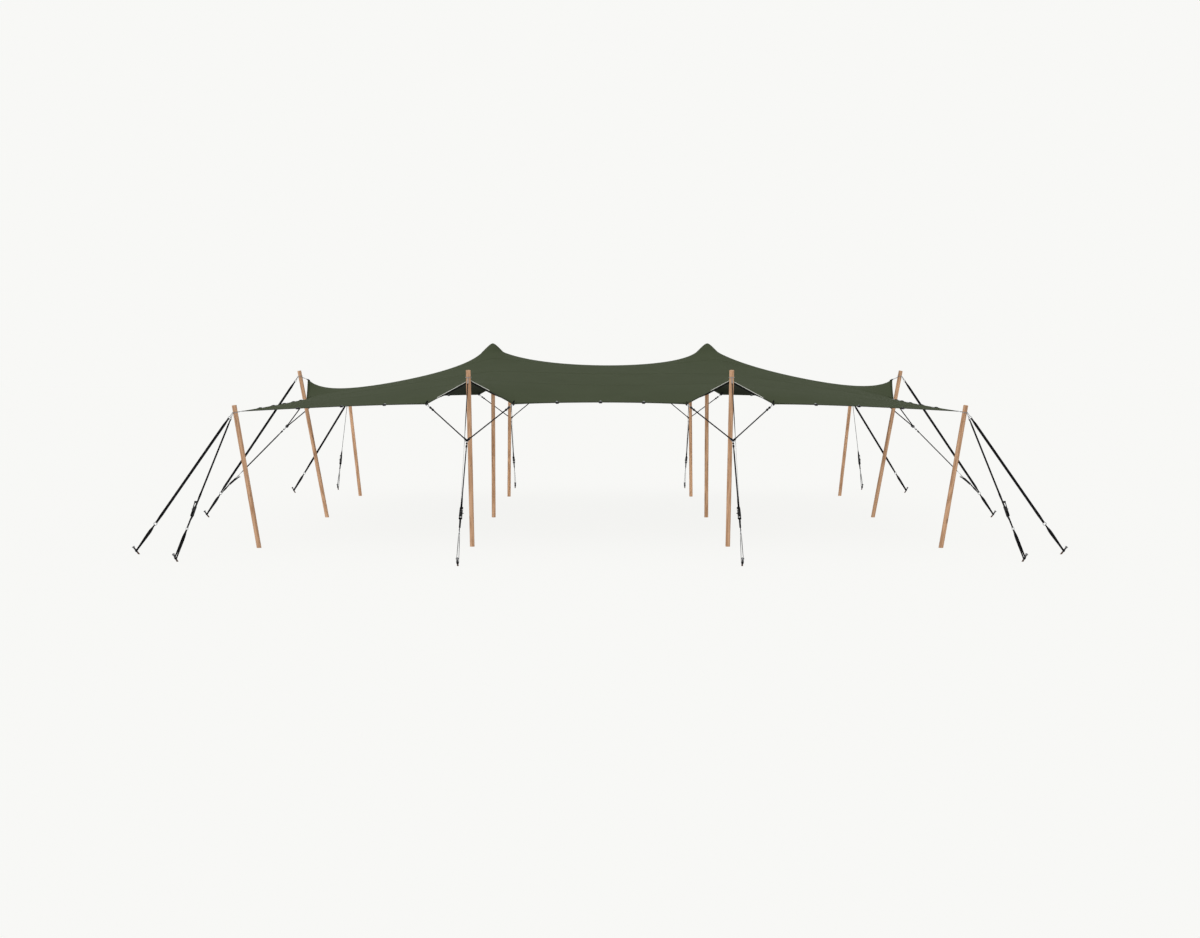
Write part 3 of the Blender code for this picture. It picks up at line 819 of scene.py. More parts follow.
def rope_paint(dark, pale, radius):
    """Braided rope: two sets of strands that cross as they run round it."""

    def paint(g):
        uv = on_surface(g)
        along, around = part(uv, 0), part(uv, 1) * (ROPE_LAY * ROPE_STRANDS / (2 * math.pi * radius))
        left, right = wave(along + around, ROPE_LAY), wave(along - around, ROPE_LAY)
        braid = g.math("MAXIMUM", left, right)
        fibre = noise(scaled(uv, (900.0, 300.0, 1.0)), 1.0, 3.0)
        colour = mixed(step(braid * 0.7 + fibre * 0.4, 0.35, 0.9), dark, pale)
        height = relief(braid * 0.8 + fibre * 0.2, radius * 0.25, 0.8)
        return {"Base Color": colour, "Roughness": 0.75 + fibre * 0.2, "Normal": height}

    return paint


# %% Rope in the hem
HEM_ROPE_R = 0.0055
HEM_STEP = 0.05
HEM_DARK = (0.010, 0.013, 0.007)
HEM_PALE = (0.020, 0.024, 0.013)
CORD_SIDES = 8


def edge_points(axis, sign, first, last, count, raise_by, inward=0.0):
    """Points along the hem on the sign side of an axis, moved in from it and raised."""
    points = []
    for along in np.linspace(first, last, count):
        at = (along, sign * (HALF.y - inward)) if axis == "y" else (sign * (HALF.x - inward), along)
        points.append(cloth_at(*at) @ Vector((0, 0, raise_by)))
    return points


bm = bmesh.new()
border = []
for axis, sign, turn in (("y", -1, 1), ("x", 1, 1), ("y", 1, -1), ("x", -1, -1)):
    half = HALF.x if axis == "y" else HALF.y
    count = round(2 * half / HEM_STEP)
    border += edge_points(axis, sign, -half * turn, half * turn, count, -CLOTH_THICK / 2)[:-1]
tube(bm, border, HEM_ROPE_R, UP, CORD_SIDES, loop=True)
hem_cloth = finish("hem_cloth", rope_paint(HEM_DARK, HEM_PALE, HEM_ROPE_R))
hem = piece("canopy_hem", bm, [hem_cloth])

# %% Light cords on the raised edges
V_CORD_R = 0.0055
V_CORD_IN = 0.006
V_CORD_STEPS = 50
V_CORD_OUTER = 0.75
V_CORD_INNER = 0.45
V_CORD_RISE = V_CORD_R * 0.8 + HEM_LIFT
CORD_GREY = (0.42, 0.42, 0.40)
CORD_WHITE = (0.75, 0.75, 0.71)
MIDDLES = [(sign, middle) for sign in (-1, 1) for middle in (-CENTRE_X, CENTRE_X)]


def raised_edge(sign, middle, outer_share, inner_share, raise_by, inward):
    """Points along a middle pole's V, from its outer arm over the tip to its inner arm."""
    outward = math.copysign(LOOP_STEP, middle)
    first, last = middle + outward * outer_share, middle - outward * inner_share
    return edge_points("y", sign, first, last, V_CORD_STEPS, raise_by, inward)


bm = bmesh.new()
for sign, middle in MIDDLES:
    points = raised_edge(sign, middle, V_CORD_OUTER, V_CORD_INNER, V_CORD_RISE, V_CORD_IN)
    tube(bm, points, V_CORD_R, UP, CORD_SIDES)
pale_rope = finish("pale_cord", rope_paint(CORD_GREY, CORD_WHITE, V_CORD_R))
edge_cords = piece("canopy_edge_cords", bm, [pale_rope])
print("hem", len(border), "points long")

# %% [markdown]
# ## Finishes of the hard parts
# The fittings are few materials used many times: black moulded plastic, bright galvanised steel,
# black coated steel that is rubbed bare in places, rubber and black webbing. Each finish
# has some slow variation and some fine one, since a single flat colour never looks like a real
# thing. The webbing's weave follows its UV map, so it runs with the strap round every bend.


# %% Hard finishes
PLASTIC_BLACK = (0.006, 0.006, 0.007)
PLASTIC_WORN = (0.018, 0.018, 0.019)
ZINC_DULL = (0.24, 0.25, 0.26)
ZINC_BRIGHT = (0.42, 0.43, 0.45)
COAT_BLACK = (0.008, 0.008, 0.009)
COAT_RUBBED = (0.16, 0.155, 0.15)
RUBBER_DARK = (0.012, 0.012, 0.012)
RUBBER_DUSTY = (0.045, 0.043, 0.040)
GRAIN_DEPTH = 0.0003
RUBBER_DEPTH = 0.0004


def plastic_paint(g):
    p = in_object(g)
    grain = noise(p, 900.0, 2.0)
    worn = step(noise(p, 35.0, 4.0, 0.7), 0.55, 0.75)
    rough = 0.45 + worn * 0.2 + grain * 0.1
    colour = mixed(worn, PLASTIC_BLACK, PLASTIC_WORN)
    return {"Base Color": colour, "Roughness": rough, "Normal": relief(grain, GRAIN_DEPTH, 0.4)}


def galvanised_paint(g):
    p = in_object(g)
    spangle = part(cells(p, 180.0, "Color"), 0)
    dull = noise(p, 25.0, 4.0, 0.6)
    colour = mixed(spangle * 0.6 + dull * 0.4, ZINC_DULL, ZINC_BRIGHT)
    return {"Base Color": colour, "Roughness": 0.34 + dull * 0.25 + spangle * 0.08}


def coated_paint(g):
    p = in_object(g)
    rub = noise(p, 60.0, 5.0, 0.75)
    bare = step(rub, 0.66, 0.72)
    fine = noise(p, 700.0, 2.0)
    return {
        "Base Color": mixed(bare, COAT_BLACK, COAT_RUBBED),
        "Metallic": bare * 0.9,
        "Roughness": 0.42 + fine * 0.15 - bare * 0.08,
        "Normal": relief(fine * 0.5 - bare * 0.5, GRAIN_DEPTH, 0.4),
    }


def rubber_paint(g):
    p = in_object(g)
    dust = step(noise(p, 40.0, 5.0, 0.7), 0.45, 0.8)
    colour = mixed(dust, RUBBER_DARK, RUBBER_DUSTY)
    normal = relief(noise(p, 500.0, 3.0), RUBBER_DEPTH, 0.5)
    return {"Base Color": colour, "Roughness": 0.8 + dust * 0.15, "Normal": normal}


plastic = finish("black_plastic", plastic_paint, specular_ior_level=0.15)
galvanised = finish("galvanised_steel", galvanised_paint, metallic=1.0)
coated = finish("coated_steel", coated_paint, specular_ior_level=0.2)
zinc = finish("zinc_buttons", galvanised_paint, metallic=0.2)
rubber = finish("pad_rubber", rubber_paint, specular_ior_level=0.3)

# %% Webbing finish
TWILL = 0.0024
CHEVRON = 0.0050
TWILL_DEPTH = 0.0004
WEB_BLACK = (0.0035, 0.0035, 0.004)
WEB_GREY = (0.0095, 0.0095, 0.0105)
WEB_DUST = (0.020, 0.019, 0.018)
ROPE_BLACK = (0.005, 0.005, 0.006)
ROPE_GREY = (0.016, 0.016, 0.017)
BRIDLE_ROPE_R = 0.011


def webbing_paint(g):
    """Herringbone twill: slanting ribs that turn back every few millimetres across the strap."""
    uv = on_surface(g)
    along, around = part(uv, 0), part(uv, 1)
    slant = around.math("PINGPONG", around, CHEVRON)
    rib = wave(along + slant, TWILL)
    thread = noise(scaled(uv, (500.0, 1600.0, 1.0)), 1.0, 2.0)
    dust = step(noise(scaled(uv, (6.0, 40.0, 1.0)), 1.0, 4.0, 0.65), 0.5, 0.8)
    colour = mixed(rib * 0.6 + thread * 0.4, WEB_BLACK, WEB_GREY)
    colour = mixed(dust * 0.3, colour, WEB_DUST)
    normal = relief(rib * 0.8 + thread * 0.2, TWILL_DEPTH, 0.7)
    return {"Base Color": colour, "Roughness": 0.70 + thread * 0.2, "Normal": normal}


webbing = finish("black_webbing", webbing_paint, specular_ior_level=0.04)
bridle_paint = rope_paint(ROPE_BLACK, ROPE_GREY, BRIDLE_ROPE_R)
black_rope = finish("black_rope", bridle_paint, specular_ior_level=0.05)

# %% [markdown]
# ## Clips along the hem
# Every 0.74 m the hem carries a black clip with a short cord loop outside it and a pressed steel
# button in the cloth beside it. They are small, but the row of dark and light dots is what makes
# the edge read as a made thing. One function builds a clip at a place on the edge, whose Y points
# out of the cloth, and a loop calls it at every place that no pole or bridle takes.

# %% Places on the edge
QUARTER = Matrix.Rotation(math.radians(90), 4, "Z")
STEPS_ALONG = 7
STEPS_ACROSS = 6
POLE_STEP = round(CENTRE_X / LOOP_STEP)


def edge_place(s, t):
    """A place on the hem: X runs along it, Y points out of the cloth and Z stands up from it."""
    on = cloth_at(s, t)
    to_s, to_t = abs(s) > HALF.x - SAME, abs(t) > HALF.y - SAME
    out = on.col[0].xyz * math.copysign(to_s, s) + on.col[1].xyz * math.copysign(to_t, t)
    return place_at(on.translation, out.cross(on.col[2].xyz), out)


def clip_places():
    """Every step along each hem, apart from the poles, the bridles and the corners."""
    for sign in (-1, 1):
        for k in range(-STEPS_ALONG, STEPS_ALONG + 1):
            if abs(abs(k) - POLE_STEP) > 1:
                yield k * LOOP_STEP, sign * HALF.y
        for k in range(-STEPS_ACROSS, STEPS_ACROSS + 1):
            if abs(k) > 1:
                yield sign * HALF.x, k * LOOP_STEP


# %% Clips and buttons
CLIP = ((-0.028, 0.022, 0.009), (-0.021, 0.027, 0.014), (0.008, 0.029, 0.018))
CLIP += ((0.028, 0.024, 0.014), (0.038, 0.017, 0.009))
CLIP_LOOP = ((0.030, -0.010), (0.048, -0.012), (0.058, 0.0), (0.048, 0.012), (0.030, 0.010))
CLIP_LOOP_R = 0.0045
CLIP_LOOP_STEP = 0.004
WASHER = ((-0.0005, 0.0215), (0.0015, 0.0210), (0.0028, 0.0165))
BUTTON = (*WASHER, (0.0048, 0.0150), (0.0092, 0.0095), (0.0112, 0.0035))
BUTTON_IN = 0.056
BUTTON_SIDES = 20
BLOCK = softened([(1, -1, 0.5), (1, 1, 0.5), (-1, 1, 0.5), (-1, -1, 0.5)], 3)


def add_block(bm, place, stations, slot=0):
    """A rounded block along the X of place: distance, half the width and half the height."""
    sweep(bm, sized(place, stations), BLOCK, slot=slot)


def add_clip(bm, place):
    out = place @ QUARTER @ Matrix.Translation((0, 0, -CLOTH_THICK / 2))
    add_block(bm, out, CLIP)
    loop = [out @ Vector((x, y, 0)) for x, y in CLIP_LOOP]
    tube(bm, eased(loop, CLIP_LOOP_STEP), CLIP_LOOP_R, place.col[2].xyz, CORD_SIDES)


def add_button(bm, place):
    """A domed button on top of the cloth and its plain washer below."""
    for side, start, profile in ((1, HEM_LIFT, BUTTON), (-1, CLOTH_THICK + HEM_LIFT, WASHER)):
        spot = place @ Vector((0, -BUTTON_IN, side * start))
        on = place_at(spot, place.col[2].xyz * side, place.col[0].xyz)
        turned(bm, on, profile, BUTTON_SIDES)


clips, buttons = bmesh.new(), bmesh.new()
for spot in clip_places():
    add_clip(clips, edge_place(*spot))
    add_button(buttons, edge_place(*spot))
print(sum(1 for _ in clip_places()), "clips")
edge_clips = piece("canopy_edge_clips", clips, [plastic])
edge_buttons = piece("canopy_edge_buttons", buttons, [zinc])

# %% [markdown]
# ## Where the rigging lies
# Each pole at the hem has a loop of wire round its head, and stays from there to one or two
# stakes. Each one between the corners also has a bridle, which is tied to the hem on both sides
# of it. One class works out these places for one pole, from the pole, its stakes, the hem and the
# hinge of its handle, so that the later cells only have to draw.

# %% Rigging layout
HEAD_DOWN = 0.12
STROP_OUT = 0.0456
STAY_START = 0.13
SLING_UP = 0.075
ANCHOR_RING_Z = 0.50
BRIDLE_RING_Z = 1.88
RING_R = 0.026
RING_TUBE = 0.005
CLOTH_SOLID = 0.014
CORNER_STARTS = 0.020
CORNER_LIES = (1.0, 0.18)
MID_LIES = (0.45, 0.12)
BRIDLE_LIES = (1.0, 0.85)
BACK_LIE = Vector((0, 1, 0))


class Stay:
    """Where the rigging of one edge or corner pole lies."""

    def __init__(self, name):
        self.name = name
        self.corner = name.startswith("corner")
        foot, self.axis, length = poles["pole_" + name]
        self.out = Vector((self.axis.x, self.axis.y, 0)).normalized()
        self.side_pole = not self.corner and abs(self.out.x) > abs(self.out.y)
        self.head = foot + self.axis * (length - HEAD_DOWN)
        own = [stakes[n] for n in sorted(stakes) if n.startswith("stake_" + name)]
        self.strop = self.head + self.out * STROP_OUT
        self.pull = (middle_of([foot for foot, _, _ in own]) - self.strop).normalized()
        self.start = self.strop + self.pull * STAY_START
        self.across = self.pull.cross(UP).normalized()
        self.rise = self.across.cross(self.pull)
        self.anchors = [self.anchor(*stake) for stake in own]
        side_x, side_y = (math.copysign(abs(a) > SAME, a) for a in foot.xy)
        if self.corner:
            self.cloth, self.holds = edge_place(side_x * HALF.x, side_y * HALF.y), []
        elif side_y:
            across = [side_x * (CENTRE_X + k * LOOP_STEP) for k in (-1, 1)]
            self.cloth = edge_place(side_x * CENTRE_X, side_y * HALF.y)
            self.holds = [edge_place(x, side_y * HALF.y) for x in across]
        else:
            self.cloth = edge_place(side_x * HALF.x, 0)
            self.holds = [edge_place(side_x * HALF.x, k * LOOP_STEP) for k in (-1, 1)]
        if self.holds:
            self.join_bridle()
        self.lay_straps()
        joint = next(j for j in frame["joints"] if j["child"] == "handle_" + name)
        spindle, across = Vector(joint["pos_m"]), -Vector(joint["axis"])
        self.ratchet = place_at(spindle, spindle - self.anchors[-1]["ring"], across)

    def anchor(self, foot, axis, _):
        """The ring on the line from the stay's start to its stake, and what the sling goes round."""
        hold = foot + axis * SLING_UP
        run = hold - self.start
        ring_at = self.start + run * ((ANCHOR_RING_Z - self.start.z) / run.z)
        down = run.normalized()
        across = down.cross(UP).normalized()
        wide = across.cross(down)
        return {"hold": hold, "axis": axis, "ring": ring_at, "down": down, "across": across, "wide": wide}

    def lay_straps(self):
        """Each strap's start at the head and the direction in which its width lies."""
        self.starts = [self.start]
        mirror = math.copysign(1, self.head.x)
        self.lies = [self.rise + self.across * mirror * MID_LIES[0]]
        self.settled = self.rise + self.across * mirror * MID_LIES[1]
        if self.corner:
            self.starts = [self.start + self.rise * side * CORNER_STARTS for side in (1, -1)]
            apart = (self.anchors[0]["ring"] - self.anchors[1]["ring"]).normalized()
            self.lies = [self.rise + apart * CORNER_LIES[0], self.rise - apart * CORNER_LIES[1]]
            if self.head.y > 0:
                self.lies[1] = BACK_LIE
            self.settled = self.lies[0]
        elif self.side_pole:
            self.lies = [self.rise]
            self.settled = self.rise

    def join_bridle(self):
        half = Vector((0, 0, CLOTH_SOLID / 2))
        self.ends = [place.translation - half for place in self.holds]
        middle = middle_of(self.ends)
        run = self.anchors[0]["ring"] - middle
        self.join = middle + run * ((BRIDLE_RING_Z - middle.z) / run.z)
        self.down = run.normalized()
        self.spread = (self.ends[1] - self.ends[0]).normalized()
        turned_by = BRIDLE_LIES[0 if self.side_pole else 1]
        self.bridle_lie = self.down.cross(self.spread) + self.spread * turned_by


stays = [Stay(name.removeprefix("stays_")) for name in sorted(nodes) if name.startswith("stays_")]
for stay in stays:
    print(stay.name, "stay starts at", [[round(x, 3) for x in start] for start in stay.starts])

# %% [markdown]
# ## Webbing tabs where the cloth is pulled
# At each pole and at each leg of a bridle, webbing is folded over the hem and sewn to both sides.
# Its loop holds a ring. The strap is a flat section swept along a line that starts on top of the
# cloth, bends out round the ring and comes back underneath.

# %% Tabs and their rings
TAB_THICK = 0.0022
TAB_IN = 0.110
TAB_WIDE = 0.048
TAB_BEND = ((-0.006, 0.0), (0.004, 0.001))
TAB_STEP = 0.006
TAB_OUT = 0.020
TIP_TAB_IN = 0.045
TAB_RING_R = 0.017
TAB_RING_TUBE = 0.0038
TAB_RING_STEPS = (10, 28)
TAPE = (0.026, 0.0022)
TAPE_SHARE = 0.75
TAPE_TAPER = 8
TAPE_IN = 0.004


def add_tab(straps, rings, place, pull, inward=TAB_IN):
    """A tab that reaches inward over the hem at place, and the ring in its loop, drawn along pull."""
    rise = HEM_LIFT + TAB_THICK * 0.6
    under = -CLOTH_THICK - rise
    sides = ((-inward, 0), (-inward / 2, 0), *TAB_BEND)
    top = [place @ Vector((0, y, rise - drop)) for y, drop in sides]
    below = [place @ Vector((0, y, under + drop)) for y, drop in sides[::-1]]
    loop = place @ Vector((0, 0, -CLOTH_THICK / 2)) + pull * TAB_OUT
    along = eased([*top, loop, *below], TAB_STEP)
    sweep(straps, run_of(along, place.col[0].xyz), strap_outline(TAB_WIDE, TAB_THICK))
    centre = loop + pull * (TAB_RING_R - TAB_RING_TUBE - TAB_THICK)
    turn = place_at(centre, pull, place.col[0].xyz)
    ring(rings, turn, TAB_RING_R, TAB_RING_TUBE, *TAB_RING_STEPS)
    return loop + pull * (2 * TAB_RING_R - TAB_THICK)


straps, rings = bmesh.new(), bmesh.new()
for stay in stays:
    reach = (stay.head - stay.cloth.translation).normalized()
    stay.tip_ring = add_tab(straps, rings, stay.cloth, reach, TIP_TAB_IN)
    stay.leg_starts = []
    for place in stay.holds:
        leg = (stay.join - place.translation).normalized()
        stay.leg_starts.append(add_tab(straps, rings, place, leg))
for sign, middle in MIDDLES:
    hung = raised_edge(sign, middle, TAPE_SHARE, TAPE_SHARE, -CLOTH_THICK, TAPE_IN)
    widths = [min(k + 1, len(hung) - k, TAPE_TAPER) / TAPE_TAPER for k in range(len(hung))]
    points = [point - UP * TAPE[0] * width / 2 for point, width in zip(hung, widths)]
    sweep(straps, narrowed(run_of(points, UP), widths), strap_outline(*TAPE))
tabs = piece("canopy_tabs", straps, [webbing])
tab_rings = piece("canopy_tab_rings", rings, [galvanised])

# %% [markdown]
# ## Poles
# The poles are turned wood, 80 mm thick, sawn square on top and flush with the ground at the
# foot. Each one is modelled upright about its own axis and then leaned into place, so that
# Object coordinates run with the wood. One pattern then gives both the streaks along the side
# and the year rings on the sawn end, because in a real pole they are the same rings.


# %% Wood finish
WOOD_PALE = (0.532, 0.322, 0.195)
WOOD_TAN = (0.432, 0.250, 0.143)
WOOD_DARK = (0.323, 0.173, 0.092)
WOOD_KNOT = (0.085, 0.040, 0.020)
YEAR_RING = 0.0042
YEAR_BEND = 0.030
WOOD_DEPTH = 0.0006
WOOD_SHIFT = (7.0, 5.0, 9.0)


def shift_of(field):
    """A shift that is different on each object, so that no two poles have the same grain."""
    return scaled(field.node("ShaderNodeObjectInfo", output="Location"), WOOD_SHIFT)


def wood_paint(g):
    place = in_object(g)
    p = g.node("ShaderNodeVectorMath", {"operation": "ADD"}, {0: place, 1: shift_of(g)})
    x, y = part(place, 0), part(place, 1)
    bend = noise(scaled(p, (9.0, 9.0, 0.55)), 1.0, 3.0) - 0.5
    radius = g.math("SQRT", x * x + y * y) + bend * YEAR_BEND
    growth = wave(radius, YEAR_RING)
    fibre = noise(scaled(p, (420.0, 420.0, 5.0)), 1.0, 3.0, 0.6)
    streak = noise(scaled(p, (60.0, 60.0, 1.1)), 1.0, 4.0, 0.6)
    shade = growth * 0.32 + fibre * 0.26 + streak * 0.42
    colour = ramp(shade, (0.30, WOOD_DARK), (0.48, WOOD_TAN), (0.72, WOOD_PALE))
    crack = abs(noise(scaled(p, (55.0, 55.0, 1.6)), 1.0, 2.0) - 0.5)
    crack = (1 - step(crack, 0.004, 0.012)) * step(noise(p, 3.0, 2.0), 0.52, 0.62)
    knot = cells(scaled(p, (11.0, 11.0, 2.6)), 1.0)
    knot = (1 - step(knot, 0.10, 0.20)) * step(noise(p, 2.3, 1.0), 0.50, 0.56)
    colour = mixed(g.math("MAXIMUM", crack * 0.85, knot * 0.75), colour, WOOD_KNOT)
    normal = relief(fibre * 0.5 + growth * 0.2 - crack, WOOD_DEPTH, 0.6)
    return {"Base Color": colour, "Roughness": 0.60 + fibre * 0.2, "Normal": normal}


wood = finish("pole_wood", wood_paint, specular_ior_level=0.35)

# %% Poles
POLE_R = 0.040
POLE_CHAMFER = 0.004
POLE_SIDES = 40
POLE_RINGS = 28
POLE_WOBBLE = 0.0006
POLE_WAVES = 5
UPRIGHT = Matrix.Rotation(math.radians(-90), 4, "Y")


def rod_place(foot, axis):
    """A place whose Z runs up a pole or stake."""
    return Matrix.Translation(foot) @ UP.rotation_difference(axis).to_matrix().to_4x4()


def standing(kind, node, rod, profile, sides, material):
    """A turned rod that leans as its solid does, cut flush with the level ground."""
    foot, axis, _ = rod
    place = rod_place(foot, axis)
    bm = bmesh.new()
    turned(bm, UPRIGHT, profile, sides)
    for vert in bm.verts:
        if vert.co.z < SAME:
            vert.co.z -= (place @ vert.co).z / axis.z
    return piece(kind + node, bm, [material], stands_for=[node], place=place)


def pole_profile(length, seed):
    """Heights and radii of a slightly uneven pole, whose upper edge is broken."""
    heights = [length * k / POLE_RINGS for k in range(POLE_RINGS)]
    profile = [(z, POLE_R + POLE_WOBBLE * math.sin(seed + POLE_WAVES * z)) for z in heights]
    profile += [(length - POLE_CHAMFER, POLE_R), (length - POLE_CHAMFER / 3, POLE_R - POLE_CHAMFER / 3)]
    return profile + [(length, POLE_R - POLE_CHAMFER)]


for seed, (node, rod) in enumerate(poles.items()):
    profile = pole_profile(rod[2], seed)
    lit_wood.objects.link(standing("wood_", node, rod, profile, POLE_SIDES, wood))

# %% [markdown]
# ## Heads of the centre poles
# Where a centre pole pushes up the cloth it needs a soft round head, or it would wear through.
# The head is hidden in the crown, and its round nose shows through the cloth. It is a turned
# rubber cap that sits over the pole and reaches up to the cloth, which is thinner than its solid.

# %% Crown pads
PAD_SIDES = 40
PAD_SKIRT = ((-0.055, 0.0408), (-0.055, 0.046), (-0.012, 0.048))
PAD_FLARE = ((0.0, 0.058), (0.006, 0.066), (0.030, 0.069))
PAD_TOP = (0.066, 0.058, 0.048, 0.036, 0.024, 0.012, 0.003)


def pad_profile(base):
    """From the open edge of the skirt on the pole up over the rounded top, as heights and radii."""
    under = PEAK_Z - CLOTH_THICK - HEM_LIFT
    profile = [(base + up, radius) for up, radius in (*PAD_SKIRT, *PAD_FLARE)]
    for radius in PAD_TOP:
        profile.append((under - math.hypot(CROWN_SLOPE * radius, CROWN_ROUND) + CROWN_ROUND, radius))
    return profile


for node in sorted(n for n in nodes if n.startswith("crown_pad")):
    low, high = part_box(node)
    bm = bmesh.new()
    centre = Vector(((low.x + high.x) / 2, (low.y + high.y) / 2, 0))
    turned(bm, Matrix.Translation(centre) @ UPRIGHT, pad_profile(low.z), PAD_SIDES)
    piece("rubber_" + node, bm, [rubber], stands_for=[node])

# %% [markdown]
# ## Wire, links and rings
# A steel wire loop lies round each pole head. From it one wire runs in to the ring at the cloth's
# tip, and two more run out to the rings of the stays. The wire is modelled as six strands that
# wind round each other, because a smooth tube would look like rod.

# %% Wire rope and links
WIRE_R = 0.005
WIRE_STRANDS = 6
WIRE_LAY = 0.045
WIRE_STEP = 0.005
STRAND_OUT = WIRE_R * 0.66
STRAND_R = WIRE_R * 0.36


def add_wire(bm, points, across, loop=False):
    places = run_of(points, across, loop)
    length = sum((b - a).length for a, b in zip(points, points[1:] + points[:1] * loop))
    turns = max(1, round(length / WIRE_LAY))
    count = len(points) if loop else len(points) - 1
    for strand in range(WIRE_STRANDS):
        line, sides = [], []
        for k, place in enumerate(places):
            turn = 2 * math.pi * (strand / WIRE_STRANDS + turns * k / count)
            side = place.to_3x3() @ Vector((0, math.cos(turn), math.sin(turn)))
            line.append(place.translation + side * STRAND_OUT)
            sides.append(side)
        tube(bm, line, STRAND_R, sides, 6, loop)


FERRULE_EDGE = 0.0015
LINK_BEND_STEPS = 10


def add_ferrule(bm, point, along, length, radius):
    """A pressed sleeve round a wire or rope, with rounded ends."""
    place = place_at(point, along, UP if abs(along.z) < 0.9 * along.length else Vector((1, 0, 0)))
    half, full = length / 2, length / 2 - FERRULE_EDGE
    turned(bm, place, [(-half, radius * 0.8), (-full, radius), (full, radius), (half, radius * 0.8)])


def add_oval(bm, place, long, wide, thick):
    """An oval link in the X and Y of place, centred on it."""
    straight, bend = long / 2 - wide / 2, wide / 2
    points = arc(place @ Matrix.Translation((straight, 0, 0)), bend, -90, 90, LINK_BEND_STEPS)
    points += arc(place @ Matrix.Translation((-straight, 0, 0)), bend, 90, 270, LINK_BEND_STEPS)
    tube(bm, points, thick, place.col[2].xyz, loop=True)


# %% Rigging at the heads
STROP_RISE = 0.0006
START_RING_R = 0.018
START_RING_TUBE = 0.0045
WIRE_APART = 0.006
FERRULE = (0.030, 0.0085)
FERRULE_OFF = 0.030
EYE = (0.030, 0.014, 0.0028)
EYE_FERRULE = (0.018, 0.0068)
EYE_FERRULE_OFF = 0.012


def wire_between(bm, start, end):
    count = max(3, round((end - start).length / WIRE_STEP))
    add_wire(bm, [start.lerp(end, k / count) for k in range(count + 1)], UP)


def add_start_ring(bm, start, down, lie):
    """A ring whose lowest bar lies along the strap's width, and the place of its top."""
    centre = start - down * START_RING_R
    ring(bm, place_at(centre, down, lie), START_RING_R, START_RING_TUBE)
    return centre - down * START_RING_R


def add_head(bm, stay):
    turn = rod_place(stay.head, stay.axis)
    radius = POLE_R + STROP_RISE + WIRE_R
    steps = round(2 * math.pi * radius / WIRE_STEP)
    add_wire(bm, whole_circle(turn, radius, steps), stay.axis, loop=True)
    inward = (stay.tip_ring - stay.head).normalized()
    inner = stay.head + inward * radius
    wire_between(bm, inner, stay.tip_ring)
    add_ferrule(bm, inner + inward * FERRULE_OFF, inward, *FERRULE)
    downs = [anchor["down"] for anchor in stay.anchors]
    tops = [add_start_ring(bm, *one) for one in zip(stay.starts, downs, stay.lies)]
    for side, top in zip((1, -1), (tops[0], tops[-1])):
        lead = top + stay.rise * side * WIRE_APART * (not stay.corner)
        begin = stay.strop + stay.rise * side * WIRE_APART
        out = (lead - begin).normalized()
        eye = lead - out * EYE[0] / 2
        add_oval(bm, place_at(eye + out * RING_TUBE, out, stay.across), *EYE)
        wire_between(bm, begin, eye)
        add_ferrule(bm, eye - out * EYE_FERRULE_OFF, out, *EYE_FERRULE)


# %% [markdown]
# ## Bridles
# At each edge pole two short rope legs come down from the hem to a ring, and from there one strap
# runs on to the ground. Each leg starts at an oval link, passes two black rope clamps and ends in
# a loop round the ring. Below the ring a link, a swivel on a bright pin and a black strap end
# follow each other, which is why the photograph shows light gaps there.

# %% Bridle
LINK = (0.044, 0.020, 0.0036)
CLAMP_AT = (0.0216, 0.0846)
CLAMP = ((-0.0180, 0.0098, 0.0119), (-0.0144, 0.014, 0.017))
CLAMP += ((0.0144, 0.014, 0.017), (0.0180, 0.0098, 0.0119))
LOOP_BACK = 0.048
LOOP_NEAR = 0.030
LOOP_R = RING_TUBE + BRIDLE_ROPE_R + 0.0005
LOOP_CLOSES = 0.7
LOOP_STEPS = 8
LEG_STEPS = 12
ROPE_STEP = 0.006
SLEEVE = (0.014, 0.0115)
SLEEVE_BACK = LOOP_BACK * 0.7
SLEEVE_OFF = LOOP_R * 0.45
DARK, ROPE = 1, 2


def add_leg(bm, stay, first):
    """A rope leg that ends in a loop round the bridle's ring, from its link at the hem."""
    leg = (stay.join - first).normalized()
    normal = stay.down.cross(stay.spread).normalized()
    flat = place_at(first, leg, normal)
    add_oval(bm, flat @ Matrix.Translation((LINK[0] / 2 - LINK[2], 0, 0)), *LINK)
    top = first + leg * (LINK[0] - 2 * LINK[2])
    end = stay.join - leg * RING_R
    loop = [end - leg * LOOP_BACK - normal * LOOP_R, end - leg * LOOP_NEAR - normal * LOOP_R]
    loop += arc(place_at(end, leg, normal), LOOP_R, -90, 90, LOOP_STEPS)
    loop.append(end - leg * LOOP_NEAR + normal * LOOP_R * LOOP_CLOSES)
    joined = end - leg * LOOP_BACK
    straight = [top.lerp(joined, 1 - k / LEG_STEPS) for k in range(LEG_STEPS + 1)]
    line = eased(loop, ROPE_STEP) + straight
    tube(bm, line, BRIDLE_ROPE_R, flat.col[1].xyz.cross(leg), slot=ROPE)
    for down in CLAMP_AT:
        add_block(bm, place_at(top + leg * down, leg, normal), CLAMP, DARK)
    add_ferrule(bm, end - leg * SLEEVE_BACK - normal * SLEEVE_OFF, leg, *SLEEVE)


# %% Below the bridle's ring
SWIVEL_LINK_AT = RING_R + 0.009
SWIVEL_LINK = (0.034, 0.018, 0.0032)
SWIVEL = ((0.048, 0.009), (0.052, 0.0145), (0.073, 0.0145), (0.077, 0.009))
SWIVEL_PIN = ((0.075, 0.0032), (0.100, 0.0032))
STRAP_END = ((0.098, 0.009, 0.0066), (0.102, 0.015, 0.011), (0.142, 0.015, 0.011), (0.148, 0.012, 0.0088))


